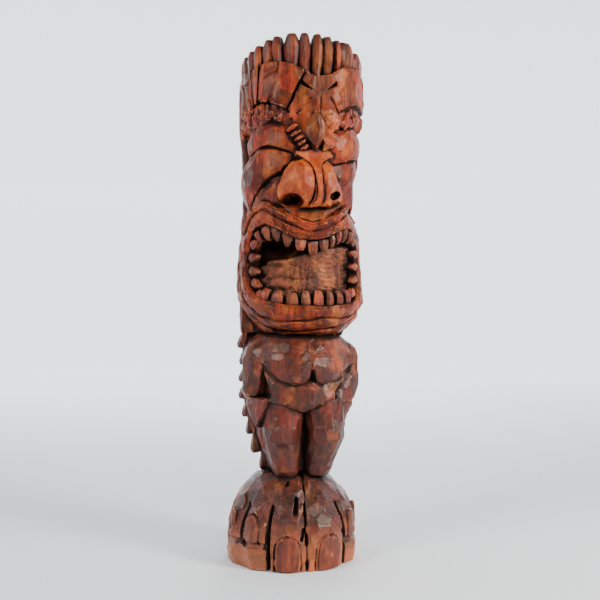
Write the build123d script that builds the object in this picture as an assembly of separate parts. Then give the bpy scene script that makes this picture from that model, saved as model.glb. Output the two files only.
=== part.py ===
from build123d import *
import os
from math import cos, radians, sin

os.makedirs("parts", exist_ok=True)

# A carved wooden tiki figure, one metre tall, cut from a single log.
# It stands on z = 0 and faces -Y, so its own right side is at -X and its own left side at +X.
# Angles are in degrees round the log from the front centre line, positive towards the figure's left.

# Driving dimensions, millimetres
HEIGHT = 1000.0
LOG_RADIUS = 122.0
CORE_RADIUS = 84.0
SAW_GAP = 4.0

# The log bows sideways a little from the crown down to the feet: middle of each zone along X
HEAD_X = -5.0
TORSO_X = -12.0
LEG_X = -16.0
BASE_X = -25.0

# Levels up the log, from the ground
FOOT_TOP = 165.0
HAND_TIP = 258.0
HIP = 300.0
BELLY_TOP = 342.0
SHOULDER = 408.0
NECK_LOW = 434.0
CHIN_LOW = 442.0
CHIN_FOLD = 456.0
LIP_LOW = 470.0
MOUTH_LOW = 512.0
MOUTH_HIGH = 640.0
LIP_HIGH = 668.0
NOSE_LOW = 676.0
CHEEK_CREASE = 735.0
EYE_LOW = 772.0
BROW_LOW = 826.0
BROW_HIGH = 874.0
CROWN_LOW = 930.0
CAP_TOP = 972.0


def plan_point(radius, angle, centre_x):
    """Point on a circle round the log, seen from above."""
    return Vector(centre_x + radius * sin(radians(angle)), -radius * cos(radians(angle)), 0)


def sector_face(inner, outer, start, end, level, centre_x):
    """Flat ring sector between two radii and two angles, at one level."""
    middle = (start + end) / 2
    outline = [
        ThreePointArc(
            plan_point(outer, start, centre_x),
            plan_point(outer, middle, centre_x),
            plan_point(outer, end, centre_x),
        ),
        Line(plan_point(outer, end, centre_x), plan_point(inner, end, centre_x)),
        ThreePointArc(
            plan_point(inner, end, centre_x),
            plan_point(inner, middle, centre_x),
            plan_point(inner, start, centre_x),
        ),
        Line(plan_point(inner, start, centre_x), plan_point(outer, start, centre_x)),
    ]
    return Pos(0, 0, level) * make_face(outline)


def sector(inner, outer, start, end, low, high, centre_x=HEAD_X):
    """Upright block between two radii, two angles and two levels."""
    face = sector_face(inner, outer, start, end, low, centre_x)
    return extrude(face, amount=high - low, dir=(0, 0, 1))


def sloped_sector(inner, outer_low, outer_high, start, end, low, high, centre_x=HEAD_X):
    """Block like a sector, whose outer face leans from one radius to another."""
    bottom = sector_face(inner, outer_low, start, end, low, centre_x)
    top = sector_face(inner, outer_high, start, end, high, centre_x)
    return loft([bottom, top], ruled=True)


def leaf(radius, angle, low, high, width, thickness, point_share, centre_x=HEAD_X):
    """Flat leaf against the log: its point is up for a positive share of its height, down for a negative."""
    height = high - low
    half = width / 2
    shoulder = abs(point_share) * height
    if point_share > 0:
        outline = [(-half, 0), (half, 0), (half, height - shoulder), (0, height), (-half, height - shoulder)]
    else:
        outline = [(-half, height), (half, height), (half, shoulder), (0, 0), (-half, shoulder)]
    outward = Vector(sin(radians(angle)), -cos(radians(angle)), 0)
    sideways = Vector(cos(radians(angle)), sin(radians(angle)), 0)
    foot = plan_point(radius, angle, centre_x) + Vector(0, 0, low)
    against_log = Plane(origin=foot, x_dir=sideways, z_dir=outward)
    return extrude(against_log * make_face(Polyline(*outline, close=True)), amount=thickness, dir=outward)


def upright_post(radius, low, high, centre_x):
    """Round post on the zone's own middle."""
    return Pos(centre_x, 0, low) * extrude(Circle(radius), amount=high - low)


def group(parts):
    """Several separate solids kept together in one node."""
    return Compound([solid for part in parts for solid in part.solids()])


nodes = {}


# Feet: one dome, cut into two by the gap between the feet, on a low rim
def add_feet():
    rim = LOG_RADIUS + 2
    widths_up = [(0, rim - 2), (40, rim), (70, rim - 2), (101, rim - 10), (133, rim - 26), (150, rim - 41)]
    outline = [(0, 0)] + [(radius, level) for level, radius in widths_up]
    outline += [(rim - 56, FOOT_TOP), (0, FOOT_TOP)]
    profile = make_face(Plane.XZ * Polyline(*outline, close=True))
    dome = Pos(BASE_X, 0, 0) * revolve(profile, axis=Axis.Z)
    gap_x = -13.0
    reach = 2 * LOG_RADIUS
    right_half = Pos(gap_x - SAW_GAP / 2 - reach / 2, 0, HIP / 2) * Box(reach, 2 * reach, 2 * HIP)
    left_half = Pos(gap_x + SAW_GAP / 2 + reach / 2, 0, HIP / 2) * Box(reach, 2 * reach, 2 * HIP)
    nodes["foot_right"] = dome & right_half
    nodes["foot_left"] = dome & left_half


def add_toenails():
    big_nail_width = 27.0
    rim = LOG_RADIUS + 2.3
    for side, angles in (("right", (-14, -46, -74)), ("left", (22, 46, 68))):
        nails = [leaf(rim, angle, 4 + 24 * step, 66 + 20 * step, big_nail_width - 6 * step, 5, 0.2, BASE_X)
                 for step, angle in enumerate(angles)]
        nodes[f"toenails_{side}"] = group(nails)


# Legs, belly, chest and arms
def add_legs():
    nodes["leg_right"] = sloped_sector(22, 66, 94, -88, -8, FOOT_TOP, HIP, LEG_X)
    nodes["leg_left"] = sloped_sector(22, 62, 90, 2, 78, FOOT_TOP, HIP, LEG_X)


def add_torso():
    nodes["belly"] = sloped_sector(22, 98, 100, -70, 62, HIP, BELLY_TOP, TORSO_X)
    nodes["chest_right"] = sloped_sector(22, 106, 98, -62, 2, BELLY_TOP, NECK_LOW, TORSO_X)
    nodes["chest_left"] = sloped_sector(22, 106, 98, 4, 60, BELLY_TOP, NECK_LOW, TORSO_X)


def add_arms():
    elbow = 300.0
    for side, start, end, radius in (("right", -96, -71, 116.0), ("left", 63, 92, 114.0)):
        nodes[f"arm_{side}"] = sloped_sector(78, radius, radius + 2, start, end, elbow, SHOULDER, TORSO_X)
    nodes["hand_right"] = sloped_sector(99, 106, 116, -86, -66, HAND_TIP, elbow, TORSO_X)
    nodes["hand_left"] = sloped_sector(93, 97, 108, 50, 74, HAND_TIP, elbow, TORSO_X)


# Back of the body: a plain column behind the legs and the torso, with rows of pointed scales
def add_back():
    first, last = 96.0, 260.0
    nodes["back_column"] = sector(22, 72, first, last, FOOT_TOP, NECK_LOW, LEG_X)
    scale_rows = 7
    cape_low = 170.0
    cape_high = NECK_LOW
    pitch = (cape_high - cape_low) / scale_rows
    nodes["mane_cape"] = sector(72, 98, 136, 262, cape_low, cape_high, LEG_X)
    columns = {"mane_left": (144, 162), "mane_back": (180, 198, 216), "mane_right": (234, 252)}
    for name, angles in columns.items():
        scales = []
        for row in range(scale_rows):
            low = cape_low + row * pitch
            for angle in angles:
                scales.append(leaf(98.3, angle, low, low + pitch - 1, 29, 14, -0.5, LEG_X))
        nodes[name] = group(scales)


# Jaw and mouth
def add_jaw():
    nodes["jaw_core"] = upright_post(CORE_RADIUS, NECK_LOW, MOUTH_HIGH, HEAD_X)
    nodes["neck_plate"] = sector(CORE_RADIUS, 96, -56, 46, NECK_LOW, CHIN_LOW)
    nodes["chin_fold_lower"] = sector(CORE_RADIUS, 110, -66, 56, CHIN_LOW, CHIN_FOLD)
    nodes["chin_fold_upper"] = sector(CORE_RADIUS, 118, -80, 68, CHIN_FOLD, LIP_LOW)
    nodes["lower_lip"] = sector(CORE_RADIUS, 124, -70, 62, LIP_LOW, MOUTH_LOW)
    nodes["nape"] = sector(CORE_RADIUS, 112, 104, 256, NECK_LOW, MOUTH_HIGH)


def add_mouth():
    mouth_start, mouth_end = -70.0, 62.0
    nodes["lip_corner_right"] = sector(CORE_RADIUS, 124, mouth_start - 30, mouth_start, MOUTH_LOW, MOUTH_HIGH)
    nodes["lip_corner_left"] = sector(CORE_RADIUS, 120, mouth_end, mouth_end + 30, MOUTH_LOW, MOUTH_HIGH)
    nodes["tongue"] = sector(CORE_RADIUS, 104, -50, 42, 522, 592)
    lip = LOG_RADIUS + 2
    centre_start, centre_end = -20, 20
    nodes["upper_lip_right"] = sector(CORE_RADIUS, lip, mouth_start - 20, centre_start, MOUTH_HIGH, LIP_HIGH)
    nodes["upper_lip_left"] = sector(CORE_RADIUS, lip, centre_end, mouth_end + 20, MOUTH_HIGH, LIP_HIGH)
    centre_low, fullness = 622, 8
    nodes["upper_lip_centre"] = sloped_sector(CORE_RADIUS, lip, lip + fullness, centre_start, centre_end,
                                              centre_low, LIP_HIGH)


def add_teeth():
    tooth_radius = 105.0
    depth = 9.0
    upper = [leaf(tooth_radius, angle, 598, 621, 17, depth, -0.5) for angle in (-17, -6, 6, 17)]
    upper += [leaf(tooth_radius, angle, 614, 638, 16, depth, -0.5) for angle in (-57, -45, -33, 33, 45)]
    lower = [leaf(tooth_radius, angle, MOUTH_LOW, 533, 17, depth, 0.6) for angle in range(-48, 43, 13)]
    side_levels = (545, 569, 593)
    right = [leaf(tooth_radius, -62, level, level + 19, 16, depth, 0.4) for level in side_levels]
    left = [leaf(tooth_radius, 54, level, level + 19, 16, depth, 0.4) for level in side_levels]
    nodes["teeth_upper"] = group(upper)
    nodes["teeth_lower"] = group(lower)
    nodes["teeth_sides"] = group(right + left)


# Middle of the face
def add_face():
    nodes["head_core"] = upright_post(CORE_RADIUS, MOUTH_HIGH, CROWN_LOW, HEAD_X)
    nose_start, nose_end = -30.0, 30.0
    strip = 4.0
    nodes["muzzle"] = sector(CORE_RADIUS, 126, -62, 56, LIP_HIGH, NOSE_LOW)
    nodes["nose_wing_right"] = sloped_sector(
        CORE_RADIUS, 148, 122, nose_start, 2 - strip, NOSE_LOW, EYE_LOW)
    nodes["nose_wing_left"] = sloped_sector(
        CORE_RADIUS, 148, 122, 2 + strip, nose_end, NOSE_LOW, EYE_LOW)
    nodes["nose_strip"] = sloped_sector(
        CORE_RADIUS, 153, 126, 2 - strip, 2 + strip, NOSE_LOW, EYE_LOW)
    for side, start, end, fullness in (("right", -84, nose_start, 0), ("left", nose_end, 84, -10)):
        nodes[f"jowl_{side}"] = sector(
            CORE_RADIUS, 112 + fullness, start, end, NOSE_LOW, CHEEK_CREASE)
        nodes[f"cheek_{side}"] = sector(
            CORE_RADIUS, 119 + fullness, start, end, CHEEK_CREASE, EYE_LOW)


def add_eyes_and_brows():
    bridge_start, bridge_end = -12.0, 18.0
    nodes["eyelid_right"] = sector(CORE_RADIUS, 119, -80, bridge_start, EYE_LOW, BROW_LOW)
    nodes["eyelid_left"] = sector(CORE_RADIUS, 119, bridge_end, 80, EYE_LOW, BROW_LOW)
    nodes["bridge_knuckles"] = sector(CORE_RADIUS, 118, bridge_start, bridge_end, EYE_LOW, BROW_LOW)
    nodes["brow_right"] = sector(CORE_RADIUS, 126, -80, -20, BROW_LOW, BROW_HIGH)
    nodes["brow_left"] = sector(CORE_RADIUS, 126, 22, 80, BROW_LOW, BROW_HIGH)
    nodes["forehead_centre"] = sector(CORE_RADIUS, 122, -20, 22, BROW_LOW, BROW_HIGH)
    lozenge_half, lozenge_deep = 24.0, 10.0
    nodes["forehead_lozenge"] = leaf(122.3, 0, 790, BROW_LOW + 24, lozenge_half * 2, lozenge_deep, -0.5)


def add_forehead():
    nodes["forehead_plate_right"] = sector(CORE_RADIUS, 124, -82, -22, BROW_HIGH, CROWN_LOW)
    nodes["forehead_plate_left"] = sector(CORE_RADIUS, 124, -20, 82, BROW_HIGH, CROWN_LOW)


# Hair: locks on both sides of the head, and the back of the head
def add_hair():
    hair = LOG_RADIUS - 1
    nodes["hair_right"] = sector(CORE_RADIUS, hair, -128, -84, LIP_HIGH, CROWN_LOW)
    nodes["hair_left"] = sector(CORE_RADIUS, hair - 6, 84, 128, LIP_HIGH, CROWN_LOW)
    nodes["hair_back"] = sector(CORE_RADIUS, hair, 128, 232, MOUTH_HIGH, CROWN_LOW)


# Crown: a ring of pointed upright blades round the cap
def add_crown():
    cap_radius = 98.0
    cap_middle = HEAD_X + 2
    nodes["crown_cap"] = upright_post(cap_radius, CROWN_LOW, CAP_TOP, cap_middle)
    blade_depth = 22.0
    blade_width = 29.0
    blade_count = 20
    spacing = 360 / blade_count
    quarters = {"crown_front": (-45, 45), "crown_left": (45, 135), "crown_back": (135, 225),
                "crown_right": (225, 315)}
    for name, (start, end) in quarters.items():
        blades = []
        for index in range(blade_count):
            angle = -45 + spacing / 2 + index * spacing
            if start < angle < end:
                top = HEIGHT - (0 if name == "crown_front" else 14)
                blades.append(leaf(cap_radius + 0.3, angle, CROWN_LOW, top, blade_width, blade_depth, 0.35,
                                   cap_middle))
        nodes[name] = group(blades)


add_feet()
add_toenails()
add_legs()
add_torso()
add_arms()
add_back()
add_jaw()
add_mouth()
add_teeth()
add_face()
add_eyes_and_brows()
add_forehead()
add_hair()
add_crown()

# The frame's origin is under the middle of the whole figure's box, on the ground
box = group(nodes.values()).bounding_box()
to_origin = Pos(-(box.min.X + box.max.X) / 2, -(box.min.Y + box.max.Y) / 2, -box.min.Z)
for name, shape in nodes.items():
    export_step(to_origin * shape, f"parts/{name}.step")
print("nodes", len(nodes), "size", box.size, "axis moved by", to_origin.position)
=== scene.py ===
import math

import bpy
import numpy as np
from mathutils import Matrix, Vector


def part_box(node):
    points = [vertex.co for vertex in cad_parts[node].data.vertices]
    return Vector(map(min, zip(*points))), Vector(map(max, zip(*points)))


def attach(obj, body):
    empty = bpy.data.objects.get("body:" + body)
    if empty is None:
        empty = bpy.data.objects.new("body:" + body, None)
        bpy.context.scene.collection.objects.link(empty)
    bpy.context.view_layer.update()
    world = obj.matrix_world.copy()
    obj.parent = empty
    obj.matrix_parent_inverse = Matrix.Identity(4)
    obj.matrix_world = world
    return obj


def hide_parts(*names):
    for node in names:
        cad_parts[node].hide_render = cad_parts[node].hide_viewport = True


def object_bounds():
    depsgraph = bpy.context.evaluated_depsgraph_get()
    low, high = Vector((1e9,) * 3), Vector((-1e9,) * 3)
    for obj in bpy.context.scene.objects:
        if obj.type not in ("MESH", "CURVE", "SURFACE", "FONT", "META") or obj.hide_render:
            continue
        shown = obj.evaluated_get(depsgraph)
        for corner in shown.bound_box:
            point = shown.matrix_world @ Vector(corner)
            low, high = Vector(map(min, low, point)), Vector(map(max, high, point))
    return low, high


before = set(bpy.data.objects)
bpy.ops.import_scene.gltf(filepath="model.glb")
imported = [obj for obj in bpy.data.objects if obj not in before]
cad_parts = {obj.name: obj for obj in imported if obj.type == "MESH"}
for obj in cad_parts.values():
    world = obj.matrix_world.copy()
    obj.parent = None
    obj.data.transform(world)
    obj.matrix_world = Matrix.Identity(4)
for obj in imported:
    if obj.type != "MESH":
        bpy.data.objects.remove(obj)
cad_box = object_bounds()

import openvdb
from mathutils import Matrix, Vector

# The log: everything is carved in millimetres from a plumb line down its middle, which the frame
# places. Angles are in degrees round the log from the front, positive towards the figure's left.
MM = 0.001
HEAD, TORSO, LEG, BASE = -5.0, -12.0, -16.0, -25.0      # middle of each zone, across from the plumb line

head_low, head_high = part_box("head_core")
PLUMB_X = (head_low[0] + head_high[0]) / 2 / MM - HEAD
PLUMB_Y = (head_low[1] + head_high[1]) / 2 / MM
TALL = cad_box[1][2] / MM                               # crown tips above the ground
UNIT = TALL / 1000.0                                    # heights below are for a figure 1000 tall

FACE_REACH = 120.0                                      # radius at which lines and outlines are measured
CHART_STEP = 0.5                                        # degrees between a chart's columns
CHART_ANGLES = np.arange(-180.0, 180.0 + CHART_STEP, CHART_STEP)
COARSE = 4.0
COARSE_LOW = np.array([-172.0, -180.0, -8.0])
COARSE_COUNT = (86, 88, 256)
wood_near = np.full(COARSE_COUNT, 40.0, np.float32)     # coarse distance to any carved wood


def soft_min(a, b, blend):
    """Join two shapes with a fillet."""
    if blend <= 0:
        return np.minimum(a, b)
    share = np.clip(0.5 + 0.5 * (b - a) / blend, 0, 1)
    return b + (a - b) * share - blend * share * (1 - share)


def soft_max(a, b, blend):
    """Keep what two shapes have in common, with the edge eased."""
    return -soft_min(-a, -b, blend)


def ease(value, low, high):
    """Smooth step from 0 at low to 1 at high."""
    t = np.clip((value - low) / (high - low), 0, 1)
    return t * t * (3 - 2 * t)


def wobble(x, y, z, seed):
    """Slow, seeded unevenness between -1 and 1."""
    k = seed * 1.7
    return (np.sin(x * 0.9 + k) * np.cos(y * 1.1 - k * 0.6) + np.sin(z * 0.8 + k * 1.3)
            + np.sin(x * 0.5 - z * 0.7 + k * 2.1) + np.cos(y * 0.6 + z * 1.3 - k)) / 4


class Block:
    """A block of wood on a grid. Its field is the distance to the carved surface, negative inside."""

    def __init__(self, low, high, middle, step=1.6):
        pad = 2.5 * step
        self.shape = tuple(int(math.ceil((h - l + 2 * pad) / step)) + 1 for l, h in zip(low, high))
        self.low = np.array([l - pad for l in low])
        self.step = step
        axes = [self.low[k] + step * np.arange(self.shape[k]) for k in range(3)]
        grids = np.meshgrid(*axes, indexing="ij", sparse=True)
        self.x, self.y, self.z = [grid.astype(np.float32) for grid in grids]
        self.middle = middle
        self.across = self.x - middle
        self.radius = np.hypot(self.across, self.y)
        self.angle = np.degrees(np.arctan2(self.across, -self.y))
        self.field = np.full(self.shape, 60.0, np.float32)

    # -- shapes, as distances -------------------------------------------------------------
    def point(self, angle, level, radius):
        """Place on the log, from an angle, a level and a distance from the zone's middle."""
        a = math.radians(angle)
        return (self.middle + radius * math.sin(a), -radius * math.cos(a), level)

    def ball(self, centre, radii, turn=None):
        """Egg shape; turn is a 3 by 3 rotation from the block to the egg."""
        p = [self.x - centre[0], self.y - centre[1], self.z - centre[2]]
        if turn is not None:
            p = [turn[k][0] * p[0] + turn[k][1] * p[1] + turn[k][2] * p[2] for k in range(3)]
        near = np.sqrt(sum((q / r) ** 2 for q, r in zip(p, radii)))
        slope = np.sqrt(sum((q / (r * r)) ** 2 for q, r in zip(p, radii))) + 1e-6
        return near * (near - 1) / slope

    def rod(self, places, radii):
        """Round bar through places, whose thickness changes along it."""
        shape = None
        for (a, b), (ra, rb) in zip(zip(places[:-1], places[1:]), zip(radii[:-1], radii[1:])):
            d = [b[k] - a[k] for k in range(3)]
            length = sum(v * v for v in d) + 1e-9
            px, py, pz = self.x - a[0], self.y - a[1], self.z - a[2]
            t = np.clip((px * d[0] + py * d[1] + pz * d[2]) / length, 0, 1)
            gap = np.sqrt((px - t * d[0]) ** 2 + (py - t * d[1]) ** 2 + (pz - t * d[2]) ** 2)
            gap = gap - (ra + (rb - ra) * t)
            shape = gap if shape is None else np.minimum(shape, gap)
        return shape

    def lift(self, chart):
        """Carry a chart of (angle, level) values over to the whole grid."""
        place = (self.angle[:, :, 0] + 180) / CHART_STEP
        column = np.clip(place.astype(int), 0, len(CHART_ANGLES) - 2)
        share = (place - column)[..., None].astype(np.float32)
        return chart[column] * (1 - share) + chart[column + 1] * share

    def runs(self, path):
        """For each run of a path of (angle, level) places: how far round and up each chart place is, the
        run's start and way, and the distance to it."""
        u = np.radians(CHART_ANGLES)[:, None] * FACE_REACH
        v = self.z[0, 0][None, :]
        for a, b in zip(path[:-1], path[1:]):
            start = (math.radians(a[0]) * FACE_REACH, a[1])
            way = (math.radians(b[0]) * FACE_REACH - start[0], b[1] - a[1])
            along = (u - start[0]) * way[0] + (v - start[1]) * way[1]
            t = np.clip(along / (way[0] * way[0] + way[1] * way[1] + 1e-9), 0, 1)
            yield u, v, start, way, np.hypot(u - start[0] - t * way[0], v - start[1] - t * way[1])

    def line(self, path):
        """Distance over the log's face to a line of (angle, level) places."""
        chart = np.minimum.reduce([run[-1] for run in self.runs(path)])
        return self.lift(chart.astype(np.float32))

    def outline_chart(self, corners):
        """Chart of the distance to a closed outline of (angle, level) corners, negative inside."""
        inside, nearest = False, np.inf
        for u, v, start, way, gap in self.runs(corners + corners[:1]):
            nearest = np.minimum(nearest, gap)
            if way[1] != 0:
                crosses = (start[1] > v) != (start[1] + way[1] > v)
                inside = inside ^ (crosses & (u < way[0] * (v - start[1]) / way[1] + start[0]))
        return np.where(inside, -nearest, nearest).astype(np.float32)

    def outline(self, corners):
        return self.lift(self.outline_chart(corners))

    def between(self, start, end):
        """Wedge between two angles."""
        mid, half = (start + end) / 2, (end - start) / 2
        turn = (self.angle - mid + 180) % 360 - 180
        return np.radians(np.abs(turn) - half) * self.radius

    def levels(self, low, high):
        return np.maximum(low - self.z, self.z - high)

    # -- carving --------------------------------------------------------------------------
    def add(self, shape, blend=0.0):
        self.field = soft_min(self.field, shape, blend)

    def keep(self, shape, blend=0.0):
        self.field = soft_max(self.field, shape, blend)

    def cut(self, shape, blend=0.0):
        self.field = soft_max(self.field, -shape, blend)

    def groove(self, gap, width, depth):
        """V cut that follows the surface: gap is the distance to its line, width its half width."""
        wall = (width * (1 + self.field / depth) - gap) / math.hypot(1, width / depth)
        self.field = np.maximum(self.field, wall)

    def grooves(self, *cuts):
        for path, width, depth in cuts:
            self.groove(self.line(path), width, depth)

    def swell(self, amount):
        """Move the surface outwards by an amount that may change from place to place."""
        self.field = self.field - amount


# ---- From a carved field to a mesh with knife facets
def fraction(value):
    return value - np.floor(value)


def cell_seed(cells, salt):
    """Pseudo-random place in each cell of a grid, the same every time."""
    n = cells[..., 0] * 127.1 + cells[..., 1] * 311.7 + cells[..., 2] * 74.7 + salt * 19.19
    return np.stack([fraction(np.sin(n + k * 37.7) * 43758.5453) for k in range(3)], axis=-1)


def vertex_normals(points, quads):
    a, b, c, d = (points[quads[:, k]] for k in range(4))
    face = np.cross(c - a, d - b)
    normals = np.zeros_like(points)
    for k in range(3):
        for corner in range(4):
            normals[:, k] += np.bincount(quads[:, corner], face[:, k], len(points))
    return normals / (np.linalg.norm(normals, axis=1, keepdims=True) + 1e-9)


def facet(points, normals, size, depth, salt):
    """Flatten a surface into irregular knife facets of a size in x, y and z, cutting no deeper than depth."""
    grid = points / np.array(size)
    home = np.floor(grid)
    gaps = np.full((2, len(points)), 1e9)               # to the nearest facet seed and to the next one
    cells = np.zeros((2, len(points), 3))
    for neighbour in np.ndindex(3, 3, 3):
        cell = home + neighbour - 1
        gap = ((cell + 0.15 + 0.7 * cell_seed(cell, salt) - grid) ** 2).sum(axis=1)
        closer = gap < gaps[0]
        next_best = ~closer & (gap < gaps[1])
        gaps[1, closer], cells[1, closer] = gaps[0, closer], cells[0, closer]
        gaps[0, closer], cells[0, closer] = gap[closer], cell[closer]
        gaps[1, next_best], cells[1, next_best] = gap[next_best], cell[next_best]
    first, second = (cells @ np.array([1.0, 4096.0, 16777216.0])).astype(np.int64)
    names, member = np.unique(first, return_inverse=True)
    count = np.bincount(member).astype(float)
    middle, facing = (np.stack([np.bincount(member, values[:, k]) / count for k in range(3)], axis=1)
                      for values in (points, normals))
    facing /= np.linalg.norm(facing, axis=1, keepdims=True) + 1e-9

    def pull(owner):
        off = ((points - middle[owner]) * facing[owner]).sum(axis=1)
        agree = ease((normals * facing[owner]).sum(axis=1), 0.62, 0.82)
        return (-depth * np.tanh(off / depth) * agree)[:, None] * facing[owner]

    found = np.clip(np.searchsorted(names, second), 0, len(names) - 1)
    other = np.where(names[found] == second, found, member)
    edge = (np.sqrt(gaps[1]) - np.sqrt(gaps[0])) * min(size)
    share = (0.5 - 0.5 * ease(edge, 0, 2.2))[:, None]
    moved = points + pull(member) * (1 - share) + pull(other) * share
    tone = fraction(np.sin(names.astype(float) * 0.0137 + salt) * 9631.17)
    return moved, tone[member]


def smooth_round(points, quads, times):
    """Relax a surface a little, keeping its volume roughly."""
    for share in (0.5, -0.45) * (times // 2) + (0.5,) * (times % 2):
        total = np.zeros_like(points)
        weight = np.zeros(len(points))
        for a, b in ((0, 1), (1, 2), (2, 3), (3, 0)):
            for p, q in ((a, b), (b, a)):
                for k in range(3):
                    total[:, k] += np.bincount(quads[:, p], points[quads[:, q], k], len(points))
                weight += np.bincount(quads[:, p], minlength=len(points))
        points = points + (total / np.maximum(weight, 1)[:, None] - points) * share
    return points


def drop_chips(points, quads):
    """Keep only the largest whole of a mesh, and leave out chips that came loose from it."""
    label = np.arange(len(points))
    while True:
        lowest = label[quads].min(axis=1)
        joined = label.copy()
        for corner in range(4):
            np.minimum.at(joined, quads[:, corner], lowest)
        joined = joined[joined]
        if np.array_equal(joined, label):
            break
        label = joined
    whole = label[quads[:, 0]]
    quads = quads[whole == np.bincount(whole).argmax()]
    used, place = np.unique(quads, return_inverse=True)
    return points[used], place.reshape(quads.shape)


def sample(field, low, step, places):
    """Read a grid between its points."""
    g = np.clip((places - low) / step, 0, np.array(field.shape) - 1.001)
    i = g.astype(int)
    f = g - i
    value = 0
    for corner in np.ndindex(2, 2, 2):
        weight = np.prod([f[:, k] if corner[k] else 1 - f[:, k] for k in range(3)], axis=0)
        value = value + weight * field[i[:, 0] + corner[0], i[:, 1] + corner[1], i[:, 2] + corner[2]]
    return value


carved = []


def note_wood(block):
    """Enter the carved wood of a block in the coarse grid, for the stain and painted shade in the hollows."""
    high = block.low + block.step * (np.array(block.shape) - 1)
    start = np.maximum(np.ceil((block.low - COARSE_LOW) / COARSE), 0).astype(int)
    stop = np.minimum(np.floor((high - COARSE_LOW) / COARSE) + 1, COARSE_COUNT).astype(int)
    window = tuple(slice(a, b) for a, b in zip(start, stop))
    places = np.stack(np.mgrid[window], axis=-1).reshape(-1, 3) * COARSE + COARSE_LOW
    values = sample(block.field, block.low, block.step, places)
    wood_near[window] = np.minimum(wood_near[window], values.reshape(tuple(stop - start)))


def carve(name, block, slot, knife=(24, 24, 30), depth=1.6, relax=2, salt=0):
    """Mesh a block, cut its facets, and file it as the piece for the frame's node of that name."""
    field = np.clip(block.field, -20, 20).astype(np.float32)
    for side in (0, -1):                                # nothing touches the grid's own edge
        field[side], field[:, side], field[:, :, side] = 20, 20, 20
    grid = openvdb.FloatGrid(background=20.0)
    grid.copyFromArray(field)
    points, quads = grid.convertToQuads(0.0)
    points = points.astype(float) * block.step + block.low
    points, quads = drop_chips(points, quads.astype(np.int64))
    a, b, c, d = (points[quads[:, k]] for k in range(4))
    if (np.cross(c - a, d - b) * (a + b + c + d)).sum() < 0:
        quads = quads[:, ::-1]
    points = smooth_round(points, quads, relax)
    points, tone = facet(points, vertex_normals(points, quads), knife, depth, salt + len(carved) * 1.37)
    points[:, 2] = np.maximum(points[:, 2], 0.0)
    note_wood(block)
    carved.append({"name": name, "points": points, "quads": quads, "slot": slot, "tone": tone})


# ---- Shapes that several zones use
def tilt(turn):
    """Turns an egg about the line of sight."""
    return [[math.cos(turn), 0, math.sin(turn)], [0, 1, 0], [-math.sin(turn), 0, math.cos(turn)]]


def mound(block, angle, level, half_angle, half_height, rise):
    """Rounded swelling of the log's face."""
    reach = ((block.angle - angle) / half_angle) ** 2 + ((block.z - level) / half_height) ** 2
    return rise * np.sqrt(np.clip(1 - reach, 0, 1))


def slab(block, corners, face, inner, bevel=5.0, skirt=7.0):
    """A raised piece of the log's face: its outline, its outer face, how deep it goes, and the lower skirt
    that runs under its neighbours so that the joint is a groove and not a slot."""
    edge = block.outline(corners)
    shape = soft_max(edge, block.radius - face, bevel)
    if skirt:
        under = soft_max(edge - 3.5, block.radius - face + skirt, 2.0)
        shape = soft_min(shape, under, 3.0)
    return np.maximum(shape, inner - block.radius)


def zone_block(middle, reach, start, end, low, high, step=1.6, inner=60.0):
    """Grid that just holds a sector of the log."""
    angles = np.radians(np.linspace(start, end, 25))
    xs = np.concatenate([reach * np.sin(angles), inner * np.sin(angles)]) + middle
    ys = np.concatenate([-reach * np.cos(angles), -inner * np.cos(angles)])
    return Block((xs.min(), ys.min(), low), (xs.max(), ys.max(), high), middle, step)


# ---- Feet: two halves of one dome, with three toes each
DOME = 124.0
DOME_SHOULDER = 40.0
DOME_RISE = 140.0
FEET_GAP_X = 12.0                                       # from the base's middle
NAILS = {"foot_right": [(-12, 4, 44, 60), (-45, 50, 29, 50), (-70, 62, 18, 42)],
         "foot_left": [(25, 3, 46, 60), (58, 50, 28, 50), (88, 60, 20, 42)]}    # angle, foot, width, height


def dome_field(block):
    """Distance to the domed base."""
    up = np.clip((block.z - DOME_SHOULDER) / DOME_RISE, 0, 0.999)
    profile = DOME * (1 - up ** 2.2) ** (1 / 2.2)
    steep = 1 + 1.6 * up ** 3
    return (block.radius - profile) / steep


def carve_foot(name, side, toes, voids):
    block = zone_block(BASE, DOME + 12, 0, 360, 0, 168, 2.1)
    toe_bottom = 46.0
    block.add(dome_field(block))
    block.swell(1.5 * wobble(block.x / 30, block.y / 30, block.z / 26, 3))
    for number, (start, end) in enumerate(toes):
        block.swell(mound(block, (start + end) / 2, 62, (end - start) / 2, 74, 7.0))
        if number > 0:                                  # the small toes end above a ledge
            under = np.maximum(block.line([(start + 3, toe_bottom), (end - 3, toe_bottom)]) - 5, 0)
            block.groove(under, 3.0, 6.5)
    for edge in sorted({a for pair in toes for a in pair if not 2 < a < 12}):
        foot = -20 if abs(edge) < 50 else toe_bottom    # only the big toes are parted down to the ground
        block.groove(block.line([(edge, foot), (edge, 84), (edge * 0.97, 116)]), 3.4, 11.0)
    block.grooves(*voids)
    for angle, foot, width, height in NAILS[name]:
        half = math.degrees((width / 2 + 2.0) / DOME)
        arch = [(angle + half * math.cos(t), foot + height * (0.62 + 0.42 * math.sin(t)))
                for t in np.linspace(0, math.pi, 9)]
        block.groove(block.line([(angle + half, foot)] + arch + [(angle - half, foot)]), 2.8, 6.0)
    wander = 1.8 * np.sin(block.z / 19.0) + 0.02 * block.y
    block.keep(side * (block.across - FEET_GAP_X - wander) + 0.6, 2.0)
    block.keep(-block.z)
    block.keep(block.z - 165.0, 4.0)
    carve(name, block, "foot_wood", knife=(30, 30, 24), depth=2.6, salt=2)


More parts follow.
